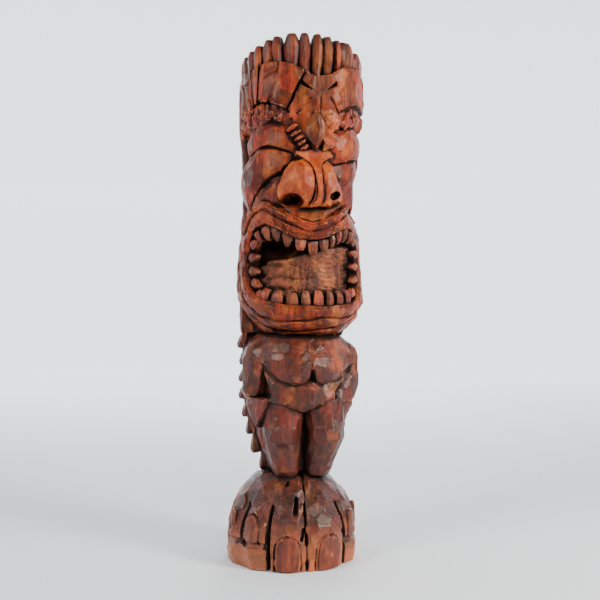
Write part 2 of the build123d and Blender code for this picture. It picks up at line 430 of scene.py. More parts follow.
def carve_feet():
    cracks = [([(-16, 150), (-13, 154)], 4.5, 16.0), ([(-5, 106), (-3, 128)], 6.0, 22.0),
              ([(0, 60), (2, 78)], 4.0, 18.0), ([(-9, 22), (-7, 33)], 3.2, 12.0)]
    carve_foot("foot_right", 1.0, [(-28, 4), (-56, -29), (-84, -58)], cracks)
    carve_foot("foot_left", -1.0, [(9, 44), (46, 74), (76, 104)], [])


# ---- Body: legs, belly, chest, arms and hands are one carved surface, which is then shared out
PEC_RIGHT = [(-47, 380), (-36, 362), (-26, 347), (-11, 341), (2, 350)]
PEC_LEFT = [(9, 356), (13, 346), (20, 341), (33, 350), (46, 362), (60, 378)]
CLEFT = (6, 368)
BELLY_EDGE = [(-38, 309), (-25, 305), (-9, 295), (-2, 292), (10, 300), (32, 314)]
HAND_RIGHT = [(-39, 319), (-43, 302), (-50, 284), (-60, 257), (-69, 274), (-76, 300)]
HAND_LEFT = [(38, 312), (40, 286), (46, 264), (55, 254), (66, 280), (80, 304)]
ARM_GAP_LEFT = [(60, 378), (48, 343), (35, 328), (38, 312)]

BODY_SHARES = {
    "chest_right": [(6, 450), CLEFT] + PEC_RIGHT[::-1] + [(-60, 400), (-70, 425), (-76, 450)],
    "chest_left": [(6, 450), CLEFT] + PEC_LEFT + [(66, 400), (72, 425), (76, 450)],
    "belly": PEC_RIGHT + [CLEFT] + PEC_LEFT + [(48, 343), (35, 328)] + BELLY_EDGE[::-1] + [(-38, 322)],
    "arm_right": [(-47, 380), (-60, 400), (-70, 425), (-76, 450), (-125, 450), (-125, 318), (-60, 319)],
    "arm_left": [(66, 400), (72, 425), (76, 450), (125, 450), (125, 306), (80, 304)] + ARM_GAP_LEFT[::-1],
    "hand_right": HAND_RIGHT,
    "hand_left": HAND_LEFT,
    "leg_right": [(-125, 150), (-125, 316)] + HAND_RIGHT[::-1] + BELLY_EDGE[:4] + [(0, 270), (0, 150)],
    "leg_left": [(0, 150), (0, 270)] + BELLY_EDGE[3:] + HAND_LEFT + [(125, 304), (125, 150)],
}


def share_out(block, shares, slot, knives, slots=()):
    """Cut one carved surface into pieces that meet without a gap: each dips 3 mm under its neighbours."""
    charts = {name: block.outline_chart(corners) for name, corners in shares.items()}
    whole = block.field
    for name in shares:
        others = np.minimum.reduce([charts[other] for other in shares if other != name])
        border = block.lift((charts[name] - others) / 2)
        block.field = np.maximum(whole + 0.55 * np.maximum(border, 0), border - 3.0)
        size, depth = knives.get(name, knives["all"])
        carve(name, block, dict(slots).get(name, slot), knife=size, depth=depth, salt=5)


def torso_face(block):
    """Outer radius of the trunk at each height."""
    level = [280, 300, 320, 338, 352, 372, 395, 412, 426, 437]
    reach = [94, 102, 105, 104, 107, 109, 108, 102, 93, 80]
    return np.interp(block.z, level, reach).astype(np.float32)


def carve_body():
    block = Block((TORSO - 134, -116, 158), (TORSO + 134, 44, 440), TORSO, 1.7)
    chest = mound(block, -24, 372, 36, 32, 5.0) + mound(block, 27, 372, 36, 32, 5.0)
    chest = np.maximum(chest, 0) + mound(block, -2, 322, 50, 34, 3.0)
    block.add(block.radius - torso_face(block) - chest)
    above = [(46, 322), (120, 322), (120, 450), (-120, 450), (-120, 318)]
    block.keep(block.outline([(-60, 318)] + BELLY_EDGE + above), 6)
    block.grooves((PEC_RIGHT + [CLEFT], 8.0, 8.0), ([CLEFT] + PEC_LEFT, 8.0, 8.0))
    block.groove(block.outline([(2, 348), (6, 368), (11, 349)]) + 2, 3.0, 8.0)

    for places, radii, blend in (([(-66, 394, 92), (-70, 330, 98)], [27, 21], 14),
                                 ([(68, 394, 94), (72, 346, 99), (60, 306, 95)], [27, 23, 19], 12)):
        block.add(block.rod([block.point(*place) for place in places], radii), blend)

    for hip, knee, calf, ankle, cap in (
            ((-46, -50, 300), (-51, -54, 248), (-46, -48, 209), (-40, -42, 165), (-54, -72, 246)),
            ((28, -50, 305), (35, -54, 250), (26, -46, 209), (20, -42, 165), (36, -72, 250))):
        leg = block.rod([hip, knee, calf, ankle], [38, 37, 31, 22])
        leg = soft_min(leg, block.ball(cap, (26, 22, 22)), 8)
        block.add(leg, 2.5)
    block.cut(block.rod([(-12, -96, 296), (-11, -100, 150)], [1.5, 1.5]), 2)

    for corners, reach, lean, bevel, blend in (
            (HAND_RIGHT + [(-74, 318)], 112, 0.16, 6, 3),
            (HAND_LEFT + [(72, 320), (48, 326)], 108, 0.14, 9, 8)):
        block.add(slab(block, corners, reach - lean * (318 - block.z), 60, bevel, skirt=0), blend)

    armpit = block.outline([(-46, 378), (-38, 324), (-41, 318), (-57, 318), (-58, 324)])
    block.cut(np.maximum(armpit, 84 - block.radius), 3)
    block.grooves((ARM_GAP_LEFT[:3] + [(36, 318)], 4.5, 12.0), ([(-39, 319), (-74, 319)], 2.5, 4.0),
                  ([(-58, 300), (-59, 262)], 2.0, 3.0), ([(52, 300), (53, 262)], 2.0, 3.0))
    block.keep(block.levels(163, 437), 3)
    block.keep(30 - block.radius)
    chest, hand = ((21, 21, 17), 2.6), ((14, 14, 24), 2.0)
    share_out(block, BODY_SHARES, "body_wood", {"all": ((22, 22, 26), 2.4), "chest_right": chest,
                                                "chest_left": chest, "hand_right": hand, "hand_left": hand})


def mane_reach(level):
    """How far the mane stands out at each height: it narrows towards the ankles."""
    return np.interp(level, [160, 178, 208, 237, 262, 300, 440], [60, 66, 79, 91, 101, 109, 113])


def carve_back_column():
    block = Block((LEG - 88, -30, 160), (LEG + 88, 92, 436), LEG, 3.2)
    block.add(block.radius - np.minimum(76, mane_reach(block.z) - 14).astype(np.float32))
    block.keep(-(block.y + 22), 6)
    block.keep(block.levels(162, 434), 2)
    carve("back_column", block, "hair_wood", knife=(20, 20, 40), depth=1.6)


# ---- Jaw, neck and lips
MOUTH = [(-44, 645), (-56, 638), (-64, 620), (-69, 598), (-70, 576), (-69, 550), (-64, 528), (-56, 514),
    (-44, 504), (-28, 496), (-10, 493), (10, 492), (28, 494), (43, 497), (54, 508), (60, 530), (62, 577),
    (60, 600), (54, 622), (46, 634), (38, 638), (30, 635), (22, 626), (12, 617), (2, 613), (-8, 614),
    (-20, 622), (-33, 636)]
LIP_RIDGE = [(-74, 640), (-68, 661), (-58, 675), (-47, 683), (-40, 682), (-30, 669), (-19, 656), (-8, 645),
    (-1, 641), (7, 643), (18, 655), (30, 670), (41, 680), (52, 684), (62, 678), (70, 660)]


def lip_face(block):
    """Outer radius of the lips and chin: fullest in front, drawn in under the jaw and at the left cheek."""
    front, right, left = (np.interp(block.z, levels, reaches) for levels, reaches in (
        ([436, 446, 456, 468, 492, 520, 600, 640, 690], [98, 111, 118, 123, 126, 124, 123, 129, 131]),
        ([436, 448, 462, 480, 498, 530, 600, 655, 690], [78, 86, 98, 113, 123, 127, 123, 118, 110]),
        ([436, 452, 468, 499, 561, 624, 655, 671, 690], [80, 95, 110, 124, 119, 115, 107, 97, 88])))
    to_right = ease(-block.angle, 18, 84)
    to_left = ease(block.angle, 18, 66)
    return (front + (right - front) * to_right + (left - front) * to_left).astype(np.float32)


def carve_neck():
    neck = zone_block(HEAD, 104, -180, 180, 430, 446)
    neck.add(neck.radius - 84 - 0.3 * (neck.z - 438))
    neck.keep(neck.levels(433, 444), 3)
    # the neck plate takes the near-black painted-shade wood
    carve("neck_plate", neck, "dark_wood", knife=(16, 16, 16), depth=1.2)


LIPS_BELOW = [(78, 640), (87, 606), (88, 560), (88, 500), (86, 470), (80, 441), (-86, 441), (-92, 470),
    (-97, 516), (-98, 560), (-96, 606), (-84, 640)]
FOLD_HIGH = [(-84, 650), (-86, 600), (-84, 560), (-79, 522), (-69, 494), (-54, 474), (-33, 463), (-6, 465),
    (12, 471), (33, 469), (50, 473), (66, 488), (76, 520), (79, 560)]
FOLD_LOW = [(-96, 500), (-80, 478), (-61, 458), (-44, 448), (-18, 445), (13, 449), (36, 455), (52, 462),
    (76, 482), (90, 510)]
LIP_SHARES = {
    "lower_lip": [(-110, 515), (-64, 515), (-40, 520), (40, 520), (58, 515), (110, 515), (110, 490),
        (76, 520)] + FOLD_HIGH[11:3:-1] + [(-110, 500)],
    "chin_fold_upper": [(-110, 500)] + FOLD_HIGH[3:12] + [(76, 520), (110, 490)] + FOLD_LOW[::-1],
    "chin_fold_lower": [(-110, 500)] + FOLD_LOW + [(110, 500), (110, 425), (-110, 425)],
    "lip_corner_right": [(-110, 515), (-64, 515), (-50, 560), (-58, 630), (-80, 646), (-110, 646)],
    "lip_corner_left": [(110, 515), (58, 515), (50, 560), (52, 630), (76, 646), (110, 646)],
    "upper_lip_right": [(-110, 646), (-80, 646), (-58, 630), (-40, 600), (-20, 600), (-20, 720),
        (-110, 720)],
    "upper_lip_centre": [(-20, 600), (20, 600), (20, 720), (-20, 720)],
    "upper_lip_left": [(20, 600), (40, 600), (52, 630), (76, 646), (110, 646), (110, 720), (20, 720)],
}


def carve_lips():
    block = zone_block(HEAD, 144, -106, 100, 436, 696)
    rim = block.outline(MOUTH)
    edge = block.outline(LIP_RIDGE + LIPS_BELOW)
    full = lip_face(block)
    block.add(soft_max(edge, block.radius - full, 5.0))
    block.add(soft_max(edge - 3, block.radius - full + 9, 2.0), 3)
    block.cut(rim, 6)
    block.groove(np.abs(rim - 6.0 - 1.5 * ease(block.z, 560, 640)), 3.0, 2.6)
    ridge = block.line(LIP_RIDGE)
    block.swell(4.5 * np.exp(-((ridge - 3.5) / 3.4) ** 2))
    block.groove(np.abs(ridge - 11.0), 3.5, 5.5)
    for path, deep in ((FOLD_HIGH, 5.0), (FOLD_LOW, 4.5)):
        block.grooves((path, 9.0, 3.0), (path, 3.0, deep))
    block.grooves(([(-40, 441), (-20, 453), (10, 455), (30, 450)], 3.0, 2.0))
    block.keep(74 - block.radius)
    fold = ((26, 26, 9), 1.6)
    share_out(block, LIP_SHARES, "face_wood",
              {"all": ((18, 18, 20), 2.0), "upper_lip_centre": ((20, 20, 14), 1.8),
               "chin_fold_upper": fold, "chin_fold_lower": fold})


def carve_muzzle():
    block = zone_block(HEAD, 140, -76, 74, 634, 694)
    top = [(70, 690), (44, 690), (30, 684), (0, 676), (-28, 682), (-44, 694), (-74, 690)]
    slope = np.clip((690 - block.z) / 34.0, 0, 1.2)
    front = np.exp(-(block.angle / 30.0) ** 2)
    full = np.minimum(108 + 8 * slope + 7 * front * slope, lip_face(block) - 6)
    block.add(slab(block, LIP_RIDGE + top, full, 78, 3))
    carve("muzzle", block, "face_wood", knife=(20, 20, 14), depth=1.4, salt=21)


def carve_mouth():
    carve_lips()
    carve_muzzle()
    core = Block((HEAD - 98, -98, 434), (HEAD + 98, 98, 642), HEAD, 3.2)
    core.add(core.radius - 90)
    core.cut(core.ball(core.point(-35, 611, 94), (36, 34, 24)), 3)
    core.cut(core.ball(core.point(0, 608, 100), (34, 18, 14)), 3)
    core.keep(core.levels(444, 640), 1)
    # painted shade: the jaw core seen through the mouth is near-black wood
    carve("jaw_core", core, "dark_wood", knife=(16, 16, 20), depth=1.5)
    tongue = zone_block(HEAD, 116, -74, 66, 500, 612, 1.5, 78)
    waves = 6 * np.sin(tongue.angle * 0.075) + 4 * np.sin(tongue.angle * 0.21 + 1.0)
    waves = waves + 2.5 * np.sin(tongue.angle * 0.43)
    right_side = ease(tongue.angle, -20, 6)
    ribs = (2.2 - 0.8 * right_side) * np.sin((tongue.z + waves) * (0.30 + 0.42 * right_side))
    ribs = ribs + 1.8 * wobble(tongue.x / 9, tongue.y / 13, tongue.z / 6, 5)
    corners = [(-66, 552), (-60, 570), (-44, 578), (-24, 580), (-8, 588), (2, 594), (12, 600), (34, 604),
               (50, 606), (58, 580), (58, 530), (50, 508), (24, 500), (-40, 500), (-62, 524)]
    dish = 101 + ribs - 3.5 * np.exp(-((tongue.z - 548) / 26.0) ** 2) + 5 * ease(tongue.z, 572, 600)
    tongue.add(slab(tongue, corners, dish, 80, 7, skirt=0))
    tongue.grooves(([(-2, 598), (0, 570), (-4, 530), (-2, 500)], 3.0, 2.2),
                   ([(-60, 572), (-40, 566), (-20, 570), (-6, 560)], 3.5, 2.4),
                   ([(-52, 540), (-30, 546), (-10, 540), (4, 545)], 3.0, 2.0))
    carve("tongue", tongue, "tongue_wood", knife=(9, 9, 6), depth=0.7, relax=1)


# ---- Nose, cheeks, eyes
STRIP_RIGHT = [(-14, 772), (-8, 765), (-2.3, 755), (1, 738), (2.3, 715), (2.9, 700), (1.5, 684), (-1, 677)]
STRIP_LEFT = [(14, 764), (9.5, 757), (7.2, 748), (6.6, 718), (6.5, 695), (5, 679)]


def carve_nose():
    turned = tilt(0.45)
    for name, span, eggs, corners, holes, depth, salt in (
            ("nose_wing_right", (156, -40, 10),
             (((-9, 716, 108), (38, 42, 50)), ((-24, 700, 112), (16, 20, 24))),
             [(-18, 778)] + STRIP_RIGHT
             + [(-2, 672), (-12, 672), (-26, 678), (-38, 690), (-36, 730), (-26, 756)],
             (((-18, 682, 134), (25, 32, 18), None), ((-16, 688, 108), (20, 32, 14), None)), 1.6, 31),
            ("nose_wing_left", (152, 2, 44), (((12, 716, 108), (29, 37, 50)), ((25, 700, 108), (17, 20, 22))),
             [(26, 772)] + STRIP_LEFT + [(8, 674), (22, 676), (36, 684), (38, 710), (32, 750)],
             (((21, 696, 116), (15, 34, 8), turned),), 1.4, 33)):
        wing = zone_block(HEAD, *span, 668, 780, 1.5, 78)
        for (place, radii), blend in zip(eggs, (0, 10)):
            wing.add(wing.ball(wing.point(*place), radii), blend)
        wing.keep(wing.outline(corners), 3)
        for place, radii, turn in holes:
            wing.cut(wing.ball(wing.point(*place), radii, turn), 2)
        wing.keep(82 - wing.radius)
        carve(name, wing, "nose_wood", knife=(26, 26, 34), depth=depth, salt=salt)

    strip = zone_block(HEAD, 156, -18, 26, 668, 786, 1.3, 78)
    reach = np.interp(strip.z, [672, 684, 712, 745, 766, 784], [139, 148, 150, 138, 124, 120])
    upper = 3.0 * np.cos(np.radians(strip.angle - 4) * 6) * ease(strip.z, 742, 764)
    strip.add(slab(strip, STRIP_RIGHT + STRIP_LEFT[::-1] + [(20, 770), (18, 782), (2, 785), (-14, 779)],
                   reach.astype(np.float32) - upper, 80, 2.5))
    carve("nose_strip", strip, "nose_wood", knife=(30, 30, 60), depth=0.4, salt=35)


CHEEK_TOP_RIGHT = [(-102, 735), (-90, 748), (-76, 762), (-64, 778), (-52, 789), (-40, 790), (-28, 782),
    (-17, 775)]
CREASE_RIGHT = [(-28, 740), (-40, 730), (-52, 712), (-62, 694), (-71, 674), (-80, 658)]
CHEEK_TOP_LEFT = [(18, 764), (26, 757), (36, 762), (50, 770), (64, 776), (86, 776)]
CREASE_LEFT = [(31, 716), (44, 722), (58, 728), (86, 734)]


# ---- Brows, the chain of knuckles beside the nose, and the forehead
def lumps(block, path, count, seed):
    """Knobbly braid along a path of (angle, level, radius) places."""
    places = [np.array(p) for p in path]
    for index in range(count):
        t = (index + 0.5) / count * (len(places) - 1)
        k = int(t)
        centre = places[k] + (places[min(k + 1, len(places) - 1)] - places[k]) * (t - k)
        shift = cell_seed(np.array([index, seed, 3.0]), seed) - 0.5
        angle, level, radius = centre + shift * np.array([14, 22.4, 5.0])
        size = 6.0 * (0.75 + 0.5 * abs(shift[0] + shift[2]))
        block.add(block.ball(block.point(angle, level, radius), (size, 0.9 * size, 1.15 * size)), 1.6)


FOREHEAD_MIDLINE = [(8.5, 914), (8, 850), (11, 838), (16, 824)]
LEAF_EDGE = [(-5, 930), (-10.3, 906), (-14.6, 888), (-19, 869), (-22, 858)]
LEAF = [(-50, 944), (-38, 946), (-28, 944), (-16, 938), (-6.5, 929), (-11.3, 906), (-15.6, 888), (-20, 869),
    (-23, 859), (-30, 866), (-40, 873), (-52, 876)]
PLATE = [(-3.5, 927), (-1, 921), (6.5, 918), (19, 924), (32, 940), (51, 946), (80, 940), (94, 932),
    (94, 862), (70, 874), (54, 877), (40, 872), (28, 858), (20, 800), (-12, 800), (-18, 852), (-21, 857),
    (-18, 869), (-13.6, 888), (-9.3, 906)]
FACE_SHARES = {
    "cheek_right": CHEEK_TOP_RIGHT + [(-22, 756)] + CREASE_RIGHT + [(-102, 668)],
    "jowl_right": [(-24, 742)] + CREASE_RIGHT + [(-102, 656), (-102, 640), (-20, 640), (-20, 690)],
    "cheek_left": CHEEK_TOP_LEFT + CREASE_LEFT[::-1] + [(26, 744)],
    "jowl_left": [(24, 724)] + CREASE_LEFT + [(92, 640), (20, 640)],
    "eyelid_right": [(-102, 750), (-100, 808), (-80, 812), (-70, 828), (-54, 827), (-44, 833), (-34, 839),
        (-24, 830), (-15, 806), (-10, 780)] + CHEEK_TOP_RIGHT[::-1],
    "eyelid_left": [(14, 768), (16, 800), (24, 816), (34, 826), (48, 832), (62, 828), (92, 826)] +
        CHEEK_TOP_LEFT[::-1],
    "brow_right": [(-100, 808), (-98, 848), (-72, 864), (-56, 875), (-42, 874), (-30, 867), (-21, 855),
        (-15, 830), (-15, 806), (-24, 830), (-34, 839), (-44, 833), (-54, 827), (-70, 828), (-80, 812)],
    "brow_left": [(14, 822), (23, 838), (28, 855), (40, 870), (54, 874), (70, 870), (92, 858), (92, 826),
        (62, 828), (48, 832), (34, 826), (24, 816)],
    "forehead_plate_right": [(-102, 975), (-5, 975)] + LEAF_EDGE + [(-30, 867), (-42, 874), (-56, 875),
        (-72, 864), (-102, 848)],
    "forehead_plate_left": [(-5, 975), (92, 975), (92, 858), (70, 870), (54, 874), (40, 870), (28, 855),
        (23, 849), (8, 848), (-4, 850), (-15, 847)] + LEAF_EDGE[::-1],
    "forehead_centre": [(-15, 847), (-4, 850), (8, 848), (23, 849), (23, 838), (14, 822), (10, 778),
        (-10, 778), (-15, 806), (-15, 830), (-19, 852)],
}


def carve_brow_lumps(block):
    """Knobbly mounds over the eyes, cut into by short grooves."""
    for middle, corners, ridge, count, seed in (
            (-50, [(-96, 812), (-94, 842), (-70, 862), (-55, 872), (-42, 873), (-30, 867), (-20, 850),
                   (-17, 832), (-25, 834), (-34, 843), (-44, 837), (-54, 831), (-70, 832)],
             [(-92, 822, 112), (-76, 844, 116), (-56, 855, 119), (-40, 856, 120), (-21, 843, 119)], 46, 5),
            (50, [(18, 824), (24, 838), (29, 857), (40, 873), (54, 881), (70, 879), (89, 868), (88, 832),
                  (62, 832), (48, 836), (34, 830), (26, 818)],
             [(20, 826, 117), (32, 840, 119), (42, 851, 120), (58, 852, 119), (86, 844, 114)], 40, 9)):
        swelling = block.radius - 111 - mound(block, middle, 851, 36, 26, 8)
        block.add(soft_max(block.outline(corners) - 1, swelling, 6), 2)
        lumps(block, ridge, count, seed)
    for start, end in (((-60, 870), (-64, 834)), ((-50, 874), (-53, 834)), ((-40, 872), (-39, 842)),
                       ((-31, 864), (-30, 844)), ((36, 864), (42, 836)), ((48, 870), (52, 836)),
                       ((62, 868), (64, 834))):
        bent = ((start[0] + end[0]) / 2 + 3, (start[1] + end[1]) / 2)
        block.grooves(([start, bent, end], 2.4, 3.0))


def carve_face():
    """Cheeks, lids, brows and forehead, carved together."""
    block = zone_block(HEAD, 138, -102, 96, 648, 958)
    ground = np.interp(block.z, [650, 700, 760, 800, 840, 880, 905, 920],
                       [104, 104, 107, 107, 111, 114, 108, 99])
    narrow = np.interp(block.z, [650, 680, 720, 765], [20, 20, 10, 0]).astype(np.float32)
    narrow = narrow * ease(block.angle, 50, 92)         # the head draws in at its left cheek
    side = ease(np.abs(block.angle), 40, 92)
    block.add(block.radius - (ground.astype(np.float32) - 4 * side - narrow))
    swept = np.abs(np.sin(np.radians(block.angle * 14 + (block.z - 900) * 2.6)))
    plate = 122 + mound(block, 44, 905, 40, 60, 4) - 6 * ease(850 - block.z, 0, 40)
    plate = plate - 3.5 * np.exp(-((block.angle - 7) / 10.0) ** 2) * ease(block.z, 878, 905)
    lid_right = [(-96, 764), (-96, 812), (-70, 826), (-54, 830), (-44, 834), (-34, 838), (-22, 828),
                 (-16, 806), (-10, 782)] + CHEEK_TOP_RIGHT[::-1]
    lid_left = [(17, 770), (19, 800), (26, 818), (34, 826), (48, 832), (62, 832), (86, 828)]
    for corners, face, bevel, grow in (
            (LEAF, 122 + mound(block, -27, 905, 26, 60, 4), 3, 1),
            ([(-61, 940), (-51, 945), (-53, 876), (-63, 868)], 119 + 4 * ease(block.angle, -60, -50), 4, 1),
            ([(-104, 934), (-61.5, 942), (-63, 866), (-104, 850)], 113 + 7 * swept ** 0.7, 4, 1),
            (PLATE, plate, 3.5, 1),
            (lid_right, 103 + mound(block, -42, 800, 38, 44, 17), 7, 1),
            (lid_left + CHEEK_TOP_LEFT[::-1], 101 + mound(block, 48, 798, 40, 46, 20), 7, 1),
            (CHEEK_TOP_RIGHT + [(-22, 756)] + CREASE_RIGHT + [(-102, 668)],
             107 + mound(block, -58, 745, 52, 72, 14), 7, 1.5),
            ([(-24, 742)] + CREASE_RIGHT + [(-98, 656), (-98, 644), (-20, 644), (-20, 690)],
             101 + mound(block, -40, 690, 36, 56, 15), 6, 1),
            (CHEEK_TOP_LEFT + CREASE_LEFT[::-1] + [(26, 744)],
             100 + mound(block, 46, 752, 38, 46, 14) - narrow, 6, 1.5),
            ([(24, 728)] + [(angle, level + 4) for angle, level in CREASE_LEFT] + [(92, 640), (20, 640)],
             104 + mound(block, 42, 700, 34, 60, 8) - narrow, 6, 4)):
        block.add(soft_max(block.outline(corners) - grow, block.radius - face, bevel), 2.5)
    carve_brow_lumps(block)

    block.grooves((LEAF_EDGE, 2.2, 9.0), ([(-29.5, 943), (-32, 905), (-39, 874)], 4.0, 4.5),
                  ([(-50, 944), (-51, 905), (-53, 874)], 3.5, 6.0),
                  ([(-64, 942), (-63, 905), (-58, 868)], 3.0, 6.0),
                  (FOREHEAD_MIDLINE, 2.2, 4.0), ([(-1, 876), (-6, 864), (-13, 848)], 3.0, 5.0),
                  ([(17, 880), (21, 868), (27, 852)], 3.0, 5.0))
    for slit in ([(0.5, 893), (-8.5, 910), (-8.5, 902)], [(14.5, 894), (23.5, 912), (23.5, 904)]):
        block.groove(block.outline(slit) + 1, 2.5, 9.0)
    block.grooves(([(66, 950), (66, 880)], 4, 3), (CHEEK_TOP_RIGHT, 2.0, 3.0),
                  ([(-24, 752), (-26, 742)] + CREASE_RIGHT, 2.4, 4.5), (CHEEK_TOP_LEFT, 2.2, 3.0),
                  (CREASE_LEFT, 3.5, 1.2),
                  ([(-74, 772), (-62, 790), (-50, 800), (-38, 801), (-26, 792)], 2.0, 2.4),
                  ([(86, 792), (66, 786), (50, 776), (36, 768)], 2.6, 3.0))
    block.keep(block.levels(652, 952), 5)
    block.cut(block.outline(LIP_RIDGE + [(90, 640), (90, 560), (-92, 560), (-92, 640)]) + 4, 2)
    block.cut(block.ball(block.point(-18, 690, 112), (20, 22, 13)), 2)
    block.keep(block.between(-99, 93), 4)
    block.keep(82 - block.radius)
    brow = ((12, 12, 12), 1.3)
    share_out(block, FACE_SHARES, "face_wood",
              {"all": ((22, 22, 26), 2.2), "cheek_right": ((32, 32, 34), 1.8),
               "eyelid_right": ((28, 28, 24), 2.2), "brow_right": brow, "brow_left": brow,
               "forehead_plate_right": ((22, 22, 40), 2.4), "forehead_plate_left": ((28, 28, 44), 2.2),
               "forehead_centre": ((18, 18, 22), 1.4)},
              slots={"brow_right": "brow_wood", "brow_left": "brow_wood"})


def carve_brow_chain():
    chain = zone_block(HEAD, 136, -24, 30, 774, 836, 1.3, 80)
    floor_corners = [(-16, 832), (-20, 806), (-10, 778), (18, 776), (26, 800), (22, 830), (4, 838)]
    chain.add(slab(chain, floor_corners, 109, 84, 4))
    knuckles = [(-17, 822, 11), (-14, 812, 9.5), (-11, 803, 9.5), (-8.5, 794, 9), (-6, 785, 9)]
    for angle, level, size in knuckles:
        chain.add(chain.ball(chain.point(angle, level, 119), (size * 1.15, size, size * 0.5), tilt(0.6)), 0.6)
    for angle, level, size in ((15, 815, 9), (20, 806, 11), (12, 803, 8), (16, 793, 11), (11, 785, 8)):
        chain.add(chain.ball(chain.point(angle, level, 116), (size * 1.2, size, size * 0.9)), 2)
    chain.grooves(([(8, 796), (8.5, 784)], 4.0, 12.0))
    chain.keep(84 - chain.radius)
    carve("bridge_knuckles", chain, "brow_wood", knife=(9, 9, 9), depth=1.3, relax=1, salt=65)


def carve_lozenge_and_core():
    lozenge = zone_block(HEAD, 136, -18, 22, 776, 860, 1.3, 100)
    corners = [(3, 853), (10, 838), (17, 824), (11, 804), (4, 783), (-3, 800), (-8, 817), (-3, 836)]
    near_ridge = lozenge.line([(3, 853), (7, 822), (4, 783)])
    lozenge.add(slab(lozenge, corners, 130 - 0.52 * near_ridge, 104, 0.8))
    carve("forehead_lozenge", lozenge, "face_wood", knife=(30, 30, 40), depth=0.6, relax=1)

    core = Block((HEAD - 100, -100, 636), (HEAD + 100, 100, 934), HEAD, 4.2)
    core.add(core.radius - 94)
    core.keep(core.levels(641, 932), 1)
    # painted shade: the head core seen between the crown blades is near-black wood
    carve("head_core", core, "dark_wood", knife=(16, 16, 30), depth=1.5)


# ---- Hair at the sides and back of the head, and the plain parts behind the jaw and the body
HAIR_SHARES = {                                         # angles from the middle of the back here
    "hair_left": [(-100, 655), (-51, 655), (-51, 940), (-100, 940)],
    "hair_back": [(-51, 641), (51, 641), (51, 940), (-51, 940)],
    "hair_right": [(51, 641), (100, 641), (100, 940), (51, 940)],
    "nape": [(-100, 430), (100, 430), (100, 641), (-51, 641), (-51, 655), (-100, 655)],
}


def carve_hair():
    """Long locks round the back of the head: rounded ridges that sweep back as they fall."""
    block = zone_block(HEAD, 130, 82, 272, 436, 934, 2.4)
    block.angle = block.angle % 360 - 180
    left = np.interp(block.z, [436, 470, 500, 540, 600, 641, 665, 690, 740, 770, 934],
                     [80, 92, 104, 111, 112, 104, 88, 91, 104, 113, 114])
    back = np.interp(block.z, [436, 470, 500, 540, 641, 700, 934], [86, 98, 107, 112, 114, 118, 119])
    right = np.interp(block.z, [436, 640, 670, 700, 790, 830, 934], [118, 117, 112, 112, 113, 118, 118])
    face = back + (left - back) * ease(-block.angle, 40, 80) + (right - back) * ease(block.angle, 15, 55)
    drop = (934.0 - block.z) / 300.0
    sweep = 24 * np.sin(np.radians(block.angle)) * drop ** 1.4 + 4 * np.sin(block.z * 0.021 + 1.3)
    ridge = np.abs(np.sin(np.radians((block.angle + sweep) * 13)))
    block.add((block.radius - face - 3 + 9 * (1 - np.sqrt(ridge))).astype(np.float32))
    block.keep(68 - block.radius)
    block.keep(block.between(-95, 89), 5)
    block.keep(block.levels(437, 932), 6)
    share_out(block, HAIR_SHARES, "hair_wood", {"all": ((13, 13, 40), 1.8)})


def carve_cape():
    block = zone_block(LEG, 112, 104, 268, 160, 440, 3.0)
    block.angle = block.angle % 360
    reach = mane_reach(block.z).astype(np.float32) - 8
    block.add(np.maximum(block.radius - reach, reach - 28 - block.radius))
    block.keep(block.between(108, 264), 6)
    block.keep(block.levels(164, 436), 3)
    carve("mane_cape", block, "hair_wood", knife=(18, 18, 26), depth=2.0, salt=83)


# ---- What repeats: crown blades, teeth, mane scales and toenails are leaves set out by geometry nodes
def in_scene(name, data):
    """New object in the scene."""
    made = bpy.data.objects.new(name, data)
    bpy.context.scene.collection.objects.link(made)
    return made


BLADE_ROWS = (0, 0.3, 0.55, 0.76, 0.92, 1)
TOOTH_ROWS = (0, 0.3, 0.62, 0.86, 1)
# Each leaf: its cuts, how its front falls off at the sides, and its width and thickness at heights up it
LEAVES = {
    "blade": {"rows": BLADE_ROWS, "across": (-1, -0.5, 0.15, 0.6, 1), "edge": 0.35, "flat": 0.4, "fall": 0.8,
              "crest": 0.1, "width": (BLADE_ROWS, (0.64, 0.76, 0.94, 1.0, 0.74, 0.52)),
              "thickness": (BLADE_ROWS, (0.76, 0.88, 0.98, 1.0, 0.84, 0.66))},
    "tooth": {"rows": TOOTH_ROWS, "across": (-1, -0.3, 0.3, 1), "edge": 0.25, "flat": 0.3, "fall": 0.6,
              "width": (TOOTH_ROWS, (1.0, 0.96, 0.70, 0.44, 0.22)),
              "thickness": (TOOTH_ROWS, (0.75, 1.0, 0.95, 0.72, 0.4))},
    "peg": {"rows": TOOTH_ROWS, "across": (-1, -0.35, 0.35, 1), "edge": 0.25, "flat": 0.35, "fall": 0.5,
            "width": (TOOTH_ROWS, (1.0, 0.98, 0.86, 0.68, 0.48)),
            "thickness": (TOOTH_ROWS, (0.8, 0.96, 1.0, 0.74, 0.42))},
    "scale": {"rows": (0, 0.15, 0.4, 0.7, 1), "across": (-1, -0.35, 0.3, 1), "edge": 0.2, "flat": 0.25,
              "fall": 0.55,
              "width": ((0, 0.15, 0.4, 0.7, 1), (0.2, 0.6, 0.95, 1.0, 0.8)),
              "thickness": ((0, 0.15, 0.4, 1), (0.8, 1.0, 0.85, 0.12))},
    "nail": {"rows": np.linspace(0, 1, 13), "across": np.linspace(-1, 1, 9), "edge": 0.4, "flat": 0,
             "fall": 0.5, "power": 2,
             "width": ((0, 0.08, 0.5, 0.8, 0.94, 1), (0.86, 0.98, 1.0, 0.86, 0.56, 0.3)),
             "thickness": ((0, 0.15, 0.8, 1), (0.9, 1.0, 0.8, 0.4))},
}


